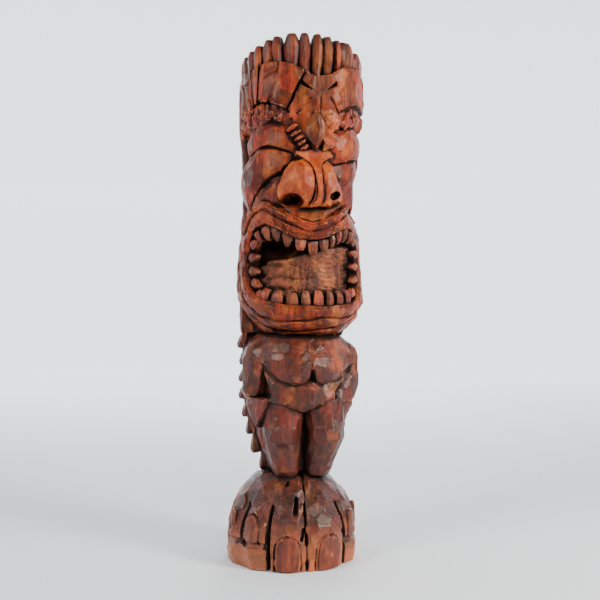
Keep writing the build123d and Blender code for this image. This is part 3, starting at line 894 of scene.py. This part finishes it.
def leaf_mesh(name, rows, across, edge, flat, fall, width, thickness, crest=0.0, power=1):
    """Closed leaf, one wide, one thick and one tall, standing on the origin and facing -Y."""
    points, faces = [], []
    ring = len(across) + 2
    for v in rows:
        half, full = 0.5 * float(np.interp(v, *width)), float(np.interp(v, *thickness))
        for u in across:
            bulge = full * (1 - fall * max(abs(u - crest) - flat, 0) ** power)
            points.append((u * half, -(edge + (1 - edge) * bulge), v))
        points += [(half, 0.0, v), (-half, 0.0, v)]
    for row in range(len(rows) - 1):
        for k in range(ring):
            a, b = row * ring + k, row * ring + (k + 1) % ring
            faces.append((a, b, b + ring, a + ring))
    faces.append(tuple(reversed(range(ring))))
    faces.append(tuple(range((len(rows) - 1) * ring, len(rows) * ring)))
    mesh = bpy.data.meshes.new(name)
    mesh.from_pydata(points, [], faces)
    return in_scene(name, mesh)


def leaf_tree():
    """Sets a leaf on every point, turned, leaned and sized by the point's own values."""
    tree = bpy.data.node_groups.new("set_out_leaves", "GeometryNodeTree")
    tree.is_modifier = True
    face = tree.interface
    face.new_socket("Places", in_out="INPUT", socket_type="NodeSocketGeometry")
    face.new_socket("Leaves", in_out="OUTPUT", socket_type="NodeSocketGeometry")
    for label, kind, value in (("Leaf", "NodeSocketObject", None), ("Unevenness", "NodeSocketFloat", 0.001),
                               ("Chip size", "NodeSocketFloat", 60.0), ("Seed", "NodeSocketInt", 7),
                               ("Cuts", "NodeSocketInt", 2), ("Finish", "NodeSocketMaterial", None)):
        socket = face.new_socket(label, in_out="INPUT", socket_type=kind)
        if value is not None:
            socket.default_value = value

    def new(kind, **feeds):
        """Node with its inputs fed, by name; an underscore stands for a space."""
        node = tree.nodes.new(kind)
        for label, value in feeds.items():
            socket = node.inputs[label.replace("_", " ")]
            if isinstance(value, bpy.types.NodeSocket):
                tree.links.new(value, socket)
            else:
                socket.default_value = value
        return node

    def named(label):
        node = new("GeometryNodeInputNamedAttribute", Name=label)
        node.data_type = "FLOAT_VECTOR"
        return node.outputs["Attribute"]

    given = new("NodeGroupInput").outputs
    shape = new("GeometryNodeObjectInfo", Object=given["Leaf"]).outputs["Geometry"]
    place = new("GeometryNodeInstanceOnPoints", Points=given["Places"], Instance=shape,
                Rotation=named("turn"), Scale=named("size"))
    pick = new("FunctionNodeRandomValue", Seed=given["Seed"])
    store = new("GeometryNodeStoreNamedAttribute", Name="tone", Geometry=place.outputs["Instances"],
                Value=pick.outputs[1])
    store.domain = "INSTANCE"
    realize = new("GeometryNodeRealizeInstances", Geometry=store.outputs["Geometry"])
    finer = new("GeometryNodeSubdivideMesh", Mesh=realize.outputs["Geometry"], Level=given["Cuts"])
    chips = new("ShaderNodeTexNoise", Scale=given["Chip size"])
    centred = new("ShaderNodeVectorMath")
    centred.operation = "SUBTRACT"
    centred.inputs[1].default_value = (0.5, 0.5, 0.5)
    tree.links.new(chips.outputs["Color"], centred.inputs[0])
    sized = new("ShaderNodeVectorMath")
    sized.operation = "SCALE"
    tree.links.new(centred.outputs["Vector"], sized.inputs[0])
    tree.links.new(given["Unevenness"], sized.inputs["Scale"])
    move = new("GeometryNodeSetPosition", Geometry=finer.outputs["Mesh"], Offset=sized.outputs["Vector"])
    paint = new("GeometryNodeSetMaterial", Geometry=move.outputs["Geometry"], Material=given["Finish"])
    new("NodeGroupOutput", Leaves=paint.outputs["Geometry"])
    return tree


def set_out(name, tree, leaf, places, slot, unevenness, chip, cuts=2):
    """Leaves on (angle, level, radius, width, thickness, height, lean, roll, middle) places, as one mesh."""
    spots, turns, sizes = [], [], []
    for angle, level, radius, width, thick, height, lean, roll, middle in places:
        a = math.radians(angle)
        spots.append(((middle + radius * math.sin(a) + PLUMB_X) * MM, (-radius * math.cos(a) + PLUMB_Y) * MM,
                      level * UNIT * MM))
        lean, roll = Matrix.Rotation(math.radians(lean), 3, "X"), Matrix.Rotation(math.radians(roll), 3, "Y")
        turns.append(tuple((Matrix.Rotation(a, 3, "Z") @ lean @ roll).to_euler()))
        sizes.append((width * MM, thick * MM, height * MM))
    cloud = bpy.data.meshes.new(name + "_places")
    cloud.from_pydata(spots, [], [])
    for label, values in (("turn", turns), ("size", sizes)):
        layer = cloud.attributes.new(label, "FLOAT_VECTOR", "POINT")
        layer.data.foreach_set("vector", np.array(values, np.float32).ravel())
    holder = in_scene(name + "_places", cloud)
    work = holder.modifiers.new("leaves", "NODES")
    work.node_group = tree
    values = {"Leaf": leaf, "Unevenness": unevenness * MM, "Chip size": chip, "Seed": 7, "Cuts": cuts,
              "Finish": FINISH[slot]}
    for item in tree.interface.items_tree:
        if item.item_type == "SOCKET" and item.in_out == "INPUT" and item.name in values:
            work[item.identifier] = values[item.name]
    graph = bpy.context.evaluated_depsgraph_get()
    graph.update()
    mesh = bpy.data.meshes.new_from_object(holder.evaluated_get(graph))
    mesh.name = name
    bpy.data.objects.remove(holder)
    mesh.set_sharp_from_angle(angle=math.radians(20))
    return in_scene(name, mesh)


def grow_leaves():
    """All the leaf pieces, each with the node it stands for and its slot."""
    tree = leaf_tree()
    shapes = {name: leaf_mesh(name + "_shape", **facts) for name, facts in LEAVES.items()}
    made = []

    def grow(name, shape, places, slot, unevenness, chip, cuts=2, node=None):
        piece = set_out(name, tree, shapes[shape], places, slot, unevenness, chip, cuts)
        made.append((piece, node or name, slot))

    # Crown blades: (angle, top, width, foot), the wide one and the narrow one at the front first
    for name, blades in (
            ("crown_front", [(-20.5, 1000, 30, 916), (-7.5, 1000, 23, 910), (4.5, 999, 22, 904),
                             (16.5, 996, 22, 904), (27, 992, 14, 908), (39, 992, 46, 918),
                             (-34, 997, 23, 916), (-45.5, 993, 25, 914)]),
            ("crown_right", [(-57, 986, 27, 908), (-69, 980, 28, 904), (-82, 976, 28, 902),
                             (-95, 975, 28, 902), (-108, 975, 29, 904), (-121, 976, 29, 906)]),
            ("crown_left", [(60, 982, 34, 918), (75, 978, 31, 912), (88, 976, 30, 908), (101, 976, 30, 906),
                            (115, 976, 30, 906)]),
            ("crown_back", [(angle, 976 + 4 * math.sin(angle), 30, 906) for angle in range(129, 237, 14)])):
        places = [(angle, foot, 93.0, width, 24, top - foot, 3.4, 1.5 * math.sin(angle * 3), HEAD + 2)
                  for angle, top, width, foot in blades]
        grow(name, "blade", places, "crown_wood", 3.2, 32)

    # Teeth: (angle, root level, width, length, roll), pointed inwards from the lips
    upper = [(-57, 631, 16, 21, -38), (-45, 642, 22, 27, -10), (-33, 641, 22, 28, 0), (-21, 630, 23, 28, 8),
             (29, 634, 16, 26, -2), (38, 638, 16, 26, 10), (47, 632, 15, 23, 22)]
    blunt = [(-9.5, 617, 21, 22, 4), (1.5, 612, 20, 24, -4), (12, 616, 19, 22, -6), (21, 624, 13, 22, -6)]
    lower = [(-47, 501, 21, 24, 18), (-32.5, 494, 25, 25, 4), (-17.5, 491, 24, 25, 0), (-5, 491, 18, 29, 0),
             (7, 491, 20, 30, 0), (18.5, 492, 16, 28, 0), (30, 494, 17, 26, -4), (42, 498, 17, 24, -10)]
    sides = [(-65, 606, 19, 24, 66), (-68, 583, 19, 24, 84), (-68, 558, 20, 26, 94), (-64, 536, 20, 25, 112),
             (-56, 516, 18, 24, 138), (55, 612, 16, 22, -60), (59, 590, 16, 22, -80), (60, 567, 16, 22, -90),
             (59, 544, 16, 22, -104), (54, 520, 16, 22, -128)]
    for name, shape, teeth, radius, lean, turned, node in (
            ("teeth_upper", "tooth", upper, 106.0, 4, 180, None),
            ("teeth_upper_blunt", "peg", blunt, 106.0, 4, 180, "teeth_upper"),
            ("teeth_lower", "peg", lower, 106.0, 3, 0, None),
            ("teeth_sides", "tooth", sides, 105.0, 0, 0, None)):
        places = [(a, z, radius, width, 15, length, lean, turned + roll, HEAD)
                  for a, z, width, length, roll in teeth]
        grow(name, shape, places, "tooth_wood", 2.4, 45, node=node)

    # Mane: rows of pointed scales, each row a half step round from the next
    rows, row_step, first_row = 8, 34.0, 168.0
    for name, start, stop in (("mane_left", 140, 168), ("mane_back", 172, 222), ("mane_right", 226, 262)):
        places = []
        for row in range(rows):
            level = first_row + row * row_step
            reach = float(mane_reach(level + 14))
            spread = math.degrees(math.atan2(float(mane_reach(level + 40)) - reach, 26.0))
            for angle in np.arange(start + (4.5 if row % 2 else 0.0), stop + 0.01, 13.5):
                radius = reach - 15 + 2 * math.sin(angle * 2.3 + row)
                places.append((angle, level, radius, 10 + 0.19 * reach, 19, 46, spread - 11,
                               5 * math.sin(angle + row), LEG))
        grow(name, "scale", places, "hair_wood", 4.0, 40)

    for side in ("right", "left"):
        places = [(a, z, DOME - 2.5 - 0.05 * z, w, 10, h, 3, 0, BASE) for a, z, w, h in NAILS["foot_" + side]]
        grow("toenails_" + side, "nail", places, "nail_wood", 0.8, 40, cuts=1)
    for shape in shapes.values():
        bpy.data.objects.remove(shape)
    return made


# ---- Finishes
class Wiring:
    """Short way to add and join shader nodes."""

    def __init__(self, tree):
        self.tree = tree

    def node(self, kind, *feeds, **settings):
        made = self.tree.nodes.new(kind)
        for label, value in settings.items():
            setattr(made, label, value)
        for socket, value in zip(made.inputs, feeds):
            self.feed(socket, value)
        return made

    def feed(self, target, value):
        if isinstance(value, bpy.types.NodeSocket):
            self.tree.links.new(value, target)
        else:
            target.default_value = value

    def math(self, operation, a, b, clamp=False):
        return self.node("ShaderNodeMath", a, b, operation=operation, use_clamp=clamp).outputs[0]

    def times(self, a, b, clamp=False):
        return self.math("MULTIPLY", a, b, clamp)

    def plus(self, a, b, clamp=False):
        return self.math("ADD", a, b, clamp)

    def minus(self, a, b):
        return self.math("SUBTRACT", a, b)

    def vector(self, operation, a, b):
        return self.node("ShaderNodeVectorMath", a, b, operation=operation).outputs["Vector"]

    def noise(self, place, scale, detail, rough, output="Fac"):
        made = self.node("ShaderNodeTexNoise")
        for label, value in (("Vector", place), ("Scale", scale), ("Detail", detail), ("Roughness", rough)):
            self.feed(made.inputs[label], value)
        return made.outputs[output]

    def spread(self, value, low, high, to_low=0.0, to_high=1.0):
        return self.node("ShaderNodeMapRange", value, low, high, to_low, to_high,
                         interpolation_type="SMOOTHSTEP").outputs["Result"]

    def mix(self, factor, a, b):
        made = self.node("ShaderNodeMix", factor, data_type="RGBA")
        self.feed(made.inputs[6], a)
        self.feed(made.inputs[7], b)
        return made.outputs[2]

    def place(self):
        return self.node("ShaderNodeTexCoord").outputs["Object"]

    def attribute(self, label):
        return self.node("ShaderNodeAttribute", attribute_name=label).outputs["Fac"]


def shader_group(name, colors, floats, outputs):
    """Empty shader group, with its wiring, its inputs and its outputs' sockets."""
    tree = bpy.data.node_groups.new(name, "ShaderNodeTree")
    for kind, inputs in (("NodeSocketColor", colors), ("NodeSocketFloat", floats)):
        for label, value in inputs.items():
            tree.interface.new_socket(label, in_out="INPUT", socket_type=kind).default_value = value
    for label in outputs:
        kind = "NodeSocketColor" if label == "Color" else "NodeSocketFloat"
        tree.interface.new_socket(label, in_out="OUTPUT", socket_type=kind)
    wiring = Wiring(tree)
    return tree, wiring, wiring.node("NodeGroupInput").outputs, wiring.node("NodeGroupOutput").inputs


def timber_group():
    """Log timber: growth rings round a pith that is off centre, long grain, pores and blotches."""
    tree, w, given, out = shader_group(
        "timber", {"Pale": (0.5, 0.2, 0.08, 1), "Deep": (0.2, 0.06, 0.02, 1)},
        {"Ring width": 0.0045, "Ring strength": 0.35, "Grain strength": 0.5, "Pore strength": 0.5,
         "Blotch": 0.5, "Blush": 0.3, "Warm below": 0.0, "Singed above": 9.0, "Darkens below": 0.0},
        ("Color", "Height"))
    place = w.place()
    drift = w.vector("SUBTRACT", w.noise(place, 7.0, 2.0, 0.5, "Color"), (0.5, 0.5, 0.5))
    bent = w.vector("ADD", place, w.vector("MULTIPLY", drift, (0.022, 0.022, 0.022)))
    from_pith = w.vector("MULTIPLY", w.vector("SUBTRACT", bent, (0.022, 0.018, 0.0)), (1.0, 1.0, 0.03))
    from_pith = w.node("ShaderNodeVectorMath", from_pith, operation="LENGTH").outputs["Value"]
    rings = w.math("DIVIDE", from_pith, given["Ring width"])
    rings = w.node("ShaderNodeMath", rings, operation="FRACT").outputs[0]
    late = w.times(w.math("POWER", rings, 2.6), w.spread(rings, 1.0, 0.9))
    along = w.vector("MULTIPLY", bent, (1.0, 1.0, 0.045))
    grain = w.noise(along, 320.0, 5.0, 0.62)
    streak = w.noise(along, 70.0, 3.0, 0.6)
    pore = w.spread(w.noise(w.vector("MULTIPLY", place, (1.0, 1.0, 0.09)), 1150.0, 2.0, 0.5), 0.60, 0.70)
    blotch = w.noise(place, 16.0, 3.0, 0.55)
    flush = w.noise(w.vector("MULTIPLY", place, (1.0, 1.0, 0.6)), 34.0, 3.0, 0.6)
    level = w.node("ShaderNodeSeparateXYZ", bent).outputs["Z"]

    share = w.times(w.spread(streak, 0.3, 0.72), given["Grain strength"])
    share = w.plus(share, w.times(w.spread(grain, 0.35, 0.75), w.times(given["Grain strength"], 0.55)))
    share = w.plus(share, w.times(late, given["Ring strength"]))
    share = w.plus(share, w.times(w.spread(blotch, 0.38, 0.68), given["Blotch"]), clamp=True)
    tint = w.mix(share, given["Pale"], given["Deep"])
    blush = w.times(w.spread(flush, 0.5, 0.72), given["Blush"])
    tint = w.mix(blush, tint, w.mix(0.5, given["Pale"], (0.85, 0.26, 0.05, 1)))
    low = w.times(w.minus(given["Warm below"], level), 9.0, clamp=True)
    tint = w.mix(low, tint, w.mix(0.4, given["Pale"], (0.80, 0.24, 0.07, 1)))
    dim = w.times(w.minus(given["Darkens below"], level), 10.0, clamp=True)
    tint = w.mix(w.times(dim, 0.5), tint, w.mix(0.8, tint, given["Deep"]))
    high = w.times(w.minus(level, given["Singed above"]), 22.0)
    high = w.plus(high, w.times(w.minus(blotch, 0.5), 1.6), clamp=True)
    tint = w.mix(w.times(high, 0.85), tint, (0.02, 0.006, 0.003, 1))
    in_pores = w.mix(0.75, tint, (0.01, 0.005, 0.003, 1))
    w.feed(out["Color"], w.mix(w.times(pore, given["Pore strength"]), tint, in_pores))
    w.feed(out["Height"], w.minus(w.minus(w.times(grain, 0.35), w.times(pore, 0.8)), w.times(late, 0.25)))
    return tree


def finish_and_painted_light_group():
    """Dark stain and painted shade in the cuts, wear and a painted highlight on the ridges, and a tone of its
    own for each knife facet.
    """
    tree, w, given, out = shader_group(
        "finish_and_painted_light",
        {"Wood": (0.4, 0.15, 0.06, 1), "Shade and stain": (0.02, 0.008, 0.004, 1), "Highlight and wear colour": (0.6, 0.3, 0.14, 1)},
        {"Shade and stain depth": 1.0, "Highlight and wear": 0.6, "Facet tone": 0.35, "Sheen low": 0.24, "Sheen high": 0.55},
        ("Color", "Roughness", "Height"))
    place = w.place()
    broken = w.noise(place, 55.0, 3.0, 0.6)
    fine = w.noise(place, 420.0, 2.0, 0.6)
    uneven = w.minus(broken, 0.5)
    tone = w.times(w.minus(w.attribute("tone"), 0.5), given["Facet tone"])
    toned = w.node("ShaderNodeHueSaturation")
    for label, value in (("Color", given["Wood"]), ("Value", w.plus(1.0, tone)),
                         ("Hue", w.plus(0.5, w.times(tone, -0.022)))):
        w.feed(toned.inputs[label], value)
    ridge = w.spread(w.plus(w.attribute("ridge"), w.times(uneven, 0.5)), 0.45, 0.95)
    # painted highlight: ridges lighten towards the ridge colour, for wear on the ridges and the light they
    # catch
    ridge_highlight_and_wear = w.mix(w.times(ridge, given["Highlight and wear"]), toned.outputs["Color"], given["Highlight and wear colour"])
    # painted shade: hollows darken towards the near-black colour, which stands for real stain in the cuts and
    # the shade that falls there
    hollow = w.plus(w.times(w.attribute("cavity"), given["Shade and stain depth"]), w.times(uneven, 0.25))
    w.feed(out["Color"], w.mix(w.spread(hollow, 0.12, 0.86), ridge_highlight_and_wear, given["Shade and stain"]))
    sheen = w.spread(w.plus(broken, w.times(fine, 0.4)), 0.45, 0.95, given["Sheen low"], given["Sheen high"])
    w.feed(out["Roughness"], w.plus(sheen, w.times(hollow, 0.3), clamp=True))
    w.feed(out["Height"], w.times(w.plus(broken, w.times(fine, 0.3)), 0.35))
    return tree


def make_finish(slot, timber, hand, pale, deep, highlight_and_wear_colour, rings=0.3, depth_of_shade_and_stain=1.0, highlight_and_wear=0.55, tone=0.62,
                sheen=(0.30, 0.62), coat=0.14, gloss=0.34, warm=0.0, singed=9.0, dim=0.0):
    """One varnished wood, from the two shared groups."""
    material = bpy.data.materials.new(slot)
    material.use_nodes = True
    w = Wiring(material.node_tree)

    def group(tree, values):
        made = w.node("ShaderNodeGroup", node_tree=tree)
        for label, value in values.items():
            made.inputs[label].default_value = value
        return made

    wood = group(timber, {"Pale": (*pale, 1), "Deep": (*deep, 1), "Ring width": 0.0045,
                          "Ring strength": rings, "Grain strength": 0.75, "Pore strength": 0.85,
                          "Blotch": 0.55, "Blush": 0.4,
                          "Warm below": warm, "Singed above": singed, "Darkens below": dim})
    # The near-black colour darkens the hollows as stain and painted shade; the ridge colour lightens the
    # ridges as wear and a painted highlight.
    finish = group(hand, {"Shade and stain": (0.010, 0.003, 0.0015, 1), "Highlight and wear colour": (*highlight_and_wear_colour, 1),
                          "Shade and stain depth": depth_of_shade_and_stain, "Highlight and wear": highlight_and_wear, "Facet tone": tone,
                          "Sheen low": sheen[0], "Sheen high": sheen[1]})
    w.feed(finish.inputs["Wood"], wood.outputs["Color"])
    bump = w.node("ShaderNodeBump")
    surface = material.node_tree.nodes["Principled BSDF"].inputs
    for socket, value in ((surface["Base Color"], finish.outputs["Color"]), (surface["Coat Weight"], coat),
                          (surface["Roughness"], finish.outputs["Roughness"]),
                          (surface["Coat Roughness"], 0.24),
                          (surface["Specular IOR Level"], gloss), (surface["Normal"], bump.outputs["Normal"]),
                          (bump.inputs["Strength"], 0.75), (bump.inputs["Distance"], 0.0012),
                          (bump.inputs["Height"], w.plus(wood.outputs["Height"], finish.outputs["Height"]))):
        w.feed(socket, value)
    return material


# Pale wood, deep wood and ridge colour of each slot, the ridge colour being wear and a painted highlight, and
# how it differs from the plain varnished wood
FINISHES = {
    "face_wood": ((0.34, 0.050, 0.007), (0.078, 0.008, 0.002), (0.72, 0.21, 0.05),
                  {"gloss": 0.2, "coat": 0.08}),
    "nose_wood": ((0.56, 0.120, 0.018), (0.24, 0.032, 0.006), (0.88, 0.34, 0.10),
                  {"tone": 0.2, "depth_of_shade_and_stain": 1.25, "gloss": 0.22, "coat": 0.1}),
    "brow_wood": ((0.38, 0.048, 0.008), (0.09, 0.009, 0.003), (0.72, 0.20, 0.05),
                  {"highlight_and_wear": 0.7, "gloss": 0.24}),
    "tooth_wood": ((0.34, 0.070, 0.024), (0.12, 0.018, 0.007), (0.66, 0.26, 0.11), {"highlight_and_wear": 0.4}),
    "tongue_wood": ((0.25, 0.065, 0.025), (0.06, 0.014, 0.007), (0.50, 0.19, 0.08),
                    {"rings": 0.1, "sheen": (0.5, 0.8), "coat": 0.04}),
    # painted shade: near-black wood for the cores seen through the mouth and between the crown blades, and
    # for the neck plate, standing in for the shade there
    "dark_wood": ((0.03, 0.006, 0.003), (0.008, 0.002, 0.001), (0.16, 0.035, 0.014),
                  {"sheen": (0.7, 0.95), "coat": 0.0, "gloss": 0.08}),
    "hair_wood": ((0.19, 0.032, 0.010), (0.05, 0.007, 0.003), (0.50, 0.16, 0.06), {}),
    "crown_wood": ((0.26, 0.040, 0.009), (0.06, 0.007, 0.003), (0.60, 0.19, 0.07),
                   {"singed": 0.965, "gloss": 0.24, "coat": 0.08}),
    "body_wood": ((0.19, 0.026, 0.007), (0.040, 0.005, 0.002), (0.60, 0.18, 0.060),
                  {"highlight_and_wear": 0.75, "coat": 0.2, "dim": 0.33}),
    "foot_wood": ((0.16, 0.030, 0.012), (0.037, 0.006, 0.003), (0.56, 0.20, 0.09),
                  {"rings": 0.6, "warm": 0.095, "highlight_and_wear": 0.75, "coat": 0.2}),
    "nail_wood": ((0.25, 0.048, 0.018), (0.07, 0.012, 0.006), (0.50, 0.18, 0.075),
                  {"tone": 0.1, "highlight_and_wear": 0.15}),
}


def make_finishes():
    timber, hand = timber_group(), finish_and_painted_light_group()
    return {slot: make_finish(slot, timber, hand, pale, deep, highlight_and_wear_colour, **extra)
            for slot, (pale, deep, highlight_and_wear_colour, extra) in FINISHES.items()}


FINISH = make_finishes()


# ---- Finished pieces
def note_values(mesh, label, values):
    """Give every point of a mesh a value that the finishes read."""
    layer = mesh.attributes.new(label, "FLOAT", "POINT")
    layer.data.foreach_set("value", values.astype(np.float32))


def to_object(piece):
    """A carved piece as an object, with its place in its mesh."""
    points = piece["points"] * (1, 1, UNIT)
    points = (points + np.array([PLUMB_X, PLUMB_Y, 0.0])) * MM
    quads = piece["quads"]
    mesh = bpy.data.meshes.new(piece["name"])
    mesh.vertices.add(len(points))
    mesh.vertices.foreach_set("co", points.astype(np.float32).ravel())
    mesh.loops.add(quads.size)
    mesh.loops.foreach_set("vertex_index", quads.astype(np.int32).ravel())
    mesh.polygons.add(len(quads))
    mesh.polygons.foreach_set("loop_start", np.arange(0, quads.size, 4, dtype=np.int32))
    mesh.update(calc_edges=True)
    mesh.validate()
    note_values(mesh, "tone", piece["tone"])
    mesh.materials.append(FINISH[piece["slot"]])
    return in_scene(piece["name"], mesh)


def plumb_points(mesh):
    """A mesh's points in millimetres from the plumb line, and its normals."""
    points = np.empty(len(mesh.vertices) * 3, np.float32)
    mesh.vertices.foreach_get("co", points)
    normals = np.empty(len(mesh.vertices) * 3, np.float32)
    mesh.vertex_normals.foreach_get("vector", normals)
    return points.reshape(-1, 3) / MM - np.array([PLUMB_X, PLUMB_Y, 0.0]), normals.reshape(-1, 3)


def note_leaves(mesh):
    """Enter a leaf piece in the coarse grid."""
    points, normals = plumb_points(mesh)
    for inside in (2.0, 5.0, 8.0):
        cells = np.round((points - inside * normals - COARSE_LOW) / COARSE).astype(int)
        keep = np.all((cells >= 0) & (cells < np.array(COARSE_COUNT)), axis=1)
        i, j, k = cells[keep].T
        wood_near[i, j, k] = np.minimum(wood_near[i, j, k], -2.0)


def spread_distance():
    """Carry the distance outwards from cells that the leaves filled."""
    for _ in range(5):
        for axis in range(3):
            for way in (1, -1):
                near = np.roll(wood_near, way, axis) + COARSE
                np.minimum(wood_near, near, out=wood_near)


def weather(piece):
    """Write how hollow and how ridged each point is: stain and painted shade for the hollows, wear and a
    painted highlight for the ridges.
    """
    mesh = piece.data
    points, normals = plumb_points(mesh)
    hollow = np.zeros(len(points))
    for reach, weight in ((5.0, 0.25), (10.0, 0.35), (20.0, 0.4)):
        gap = sample(wood_near, COARSE_LOW, COARSE, points + normals * reach)
        hollow += weight * np.clip(1 - gap / reach, 0, 1.2)
    edges = np.empty(len(mesh.edges) * 2, np.int32)
    mesh.edges.foreach_get("vertices", edges)
    edges = edges.reshape(-1, 2)
    total = np.zeros_like(points)
    count = np.bincount(edges.ravel(), minlength=len(points)).astype(float)
    for a, b in ((0, 1), (1, 0)):
        for k in range(3):
            total[:, k] += np.bincount(edges[:, a], points[edges[:, b], k], len(points))
    length = np.linalg.norm(points[edges[:, 0]] - points[edges[:, 1]], axis=1)
    span = np.bincount(edges.ravel(), np.repeat(length, 2), len(points)) / np.maximum(count, 1)
    bend = ((total / np.maximum(count, 1)[:, None] - points) * normals).sum(axis=1) / np.maximum(span, 1e-6)
    for _ in range(2):                                  # let it spread over the neighbours
        around = np.zeros(len(points))
        for a, b in ((0, 1), (1, 0)):
            around += np.bincount(edges[:, a], bend[edges[:, b]], len(points))
        bend = 0.5 * bend + 0.5 * around / np.maximum(count, 1)
    # stain and painted shade: darker where wood encloses the point or the surface bends inwards
    cavity = np.clip(1.15 * hollow - 0.12 + 2.2 * np.clip(bend, 0, 0.35), 0, 1)
    # wear and painted highlight: lighter where the surface bends outwards, less so in the hollows
    ridge = np.clip(-bend * 5.0, 0, 1) * np.clip(1.3 - 1.6 * hollow, 0, 1)
    note_values(mesh, "cavity", cavity)
    note_values(mesh, "ridge", ridge)
    mesh.polygons.foreach_set("use_smooth", np.ones(len(mesh.polygons), bool))


def carve_figure():
    for part in (carve_feet, carve_body, carve_back_column, carve_neck, carve_mouth, carve_nose, carve_face,
                 carve_brow_chain, carve_lozenge_and_core, carve_hair, carve_cape):
        part()
    cap = Block((HEAD - 104, -106, 924), (HEAD + 108, 106, 976), HEAD + 2, 2.2)
    cap.add(cap.radius - 98 + 0.3 * np.maximum(cap.z - 940, 0))
    cap.keep(cap.levels(931, 970 - 0.05 * cap.radius), 4)
    carve("crown_cap", cap, "crown_wood", knife=(24, 24, 20), depth=2.4, salt=91)


def finish_pieces():
    leaves = grow_leaves()
    for piece, node, slot in leaves:
        note_leaves(piece.data)
    spread_distance()
    for piece, node, slot in [(to_object(item), item["name"], item["slot"]) for item in carved] + leaves:
        weather(piece)
        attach(piece, "root")
        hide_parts(node)


# ---- Studio
def make_camera(middle):
    turn, distance = math.radians(-10), 1.74
    lens = bpy.data.cameras.new("camera")
    lens.sensor_width = 36.0
    lens.lens = 52.5
    lens.shift_x = -0.005
    lens.shift_y = 0.0025
    camera = in_scene("camera", lens)
    camera.location = middle + Vector((distance * math.sin(turn), -distance * math.cos(turn), 0))
    camera.rotation_euler = (math.pi / 2, 0, turn)
    bpy.context.scene.camera = camera


def make_paper():
    """Round sheet of paper whose rim curves up all round; it is darker in front and glows behind."""
    flat, bend, rise, steps, sides = 4.6, 1.4, 6.0, 12, 64
    curve = [(flat + bend * math.sin(t), bend - bend * math.cos(t))
             for t in np.linspace(0, math.pi / 2, steps)]
    profile = [(0.02, 0.0), (1.2, 0.0), *curve, (flat + bend, rise)]
    points = [(r * math.cos(a), r * math.sin(a), z - 0.0005)
              for a in np.linspace(0, 2 * math.pi, sides + 1)[:-1] for r, z in profile]
    count = len(profile)
    faces = [(i * count + k, i * count + k + 1, (i + 1) % sides * count + k + 1, (i + 1) % sides * count + k)
             for i in range(sides) for k in range(count - 1)]
    faces.append(tuple(i * count for i in reversed(range(sides))))
    mesh = bpy.data.meshes.new("floor")
    mesh.from_pydata(points, [], faces)
    mesh.polygons.foreach_set("use_smooth", np.ones(len(faces), bool))
    paper = bpy.data.materials.new("paper")
    paper.use_nodes = True
    mesh.materials.append(paper)
    w = Wiring(paper.node_tree)
    back = w.node("ShaderNodeSeparateXYZ", w.place()).outputs["Y"]
    shade = w.mix(w.spread(back, -3.5, -0.6), (0.46, 0.51, 0.58, 1), (0.80, 0.88, 0.98, 1))
    glow = w.mix(w.spread(back, 0.3, 3.6), (0.0, 0.0, 0.0, 1), (1.0, 1.0, 1.0, 1))
    surface = paper.node_tree.nodes["Principled BSDF"].inputs
    for label, value in (("Base Color", shade), ("Roughness", 0.9), ("Emission Color", glow),
                         ("Emission Strength", 1.3)):
        w.feed(surface[label], value)
    in_scene("floor", mesh)


def make_lights(middle):
    for name, place, aim, size, power, tint in (
            ("key", (1.7, -1.5, 0.9), 0.1, (0.6, 1.1), 84, (1.0, 0.88, 0.74)),
            ("window", (-1.7, -1.0, 1.2), 0, (0.5, 1.2), 34, (1.0, 0.90, 0.78)),
            ("front", (0.3, -2.6, 1.6), 0, (0.8, 0.6), 24, (1.0, 0.88, 0.76)),
            ("back", (0.6, 2.2, 1.4), 0, (1.0, 1.2), 34, (1.0, 0.90, 0.78))):
        light = bpy.data.lights.new(name, "AREA")
        light.shape = "RECTANGLE"
        light.size, light.size_y = size
        light.energy = power
        light.color = tint
        box = in_scene(name, light)
        box.location = middle + Vector(place)
        way = middle + Vector((0, 0, aim)) - box.location
        box.rotation_euler = way.to_track_quat("-Z", "Y").to_euler()
    world = bpy.data.worlds.new("studio")
    world.use_nodes = True
    world.node_tree.nodes["Background"].inputs["Color"].default_value = (1.0, 0.94, 0.86, 1)
    world.node_tree.nodes["Background"].inputs["Strength"].default_value = 0.10
    bpy.context.scene.world = world


carve_figure()
finish_pieces()
figure_middle = Vector((PLUMB_X * MM, PLUMB_Y * MM, TALL * MM / 2))
make_camera(figure_middle)
make_paper()
make_lights(figure_middle)
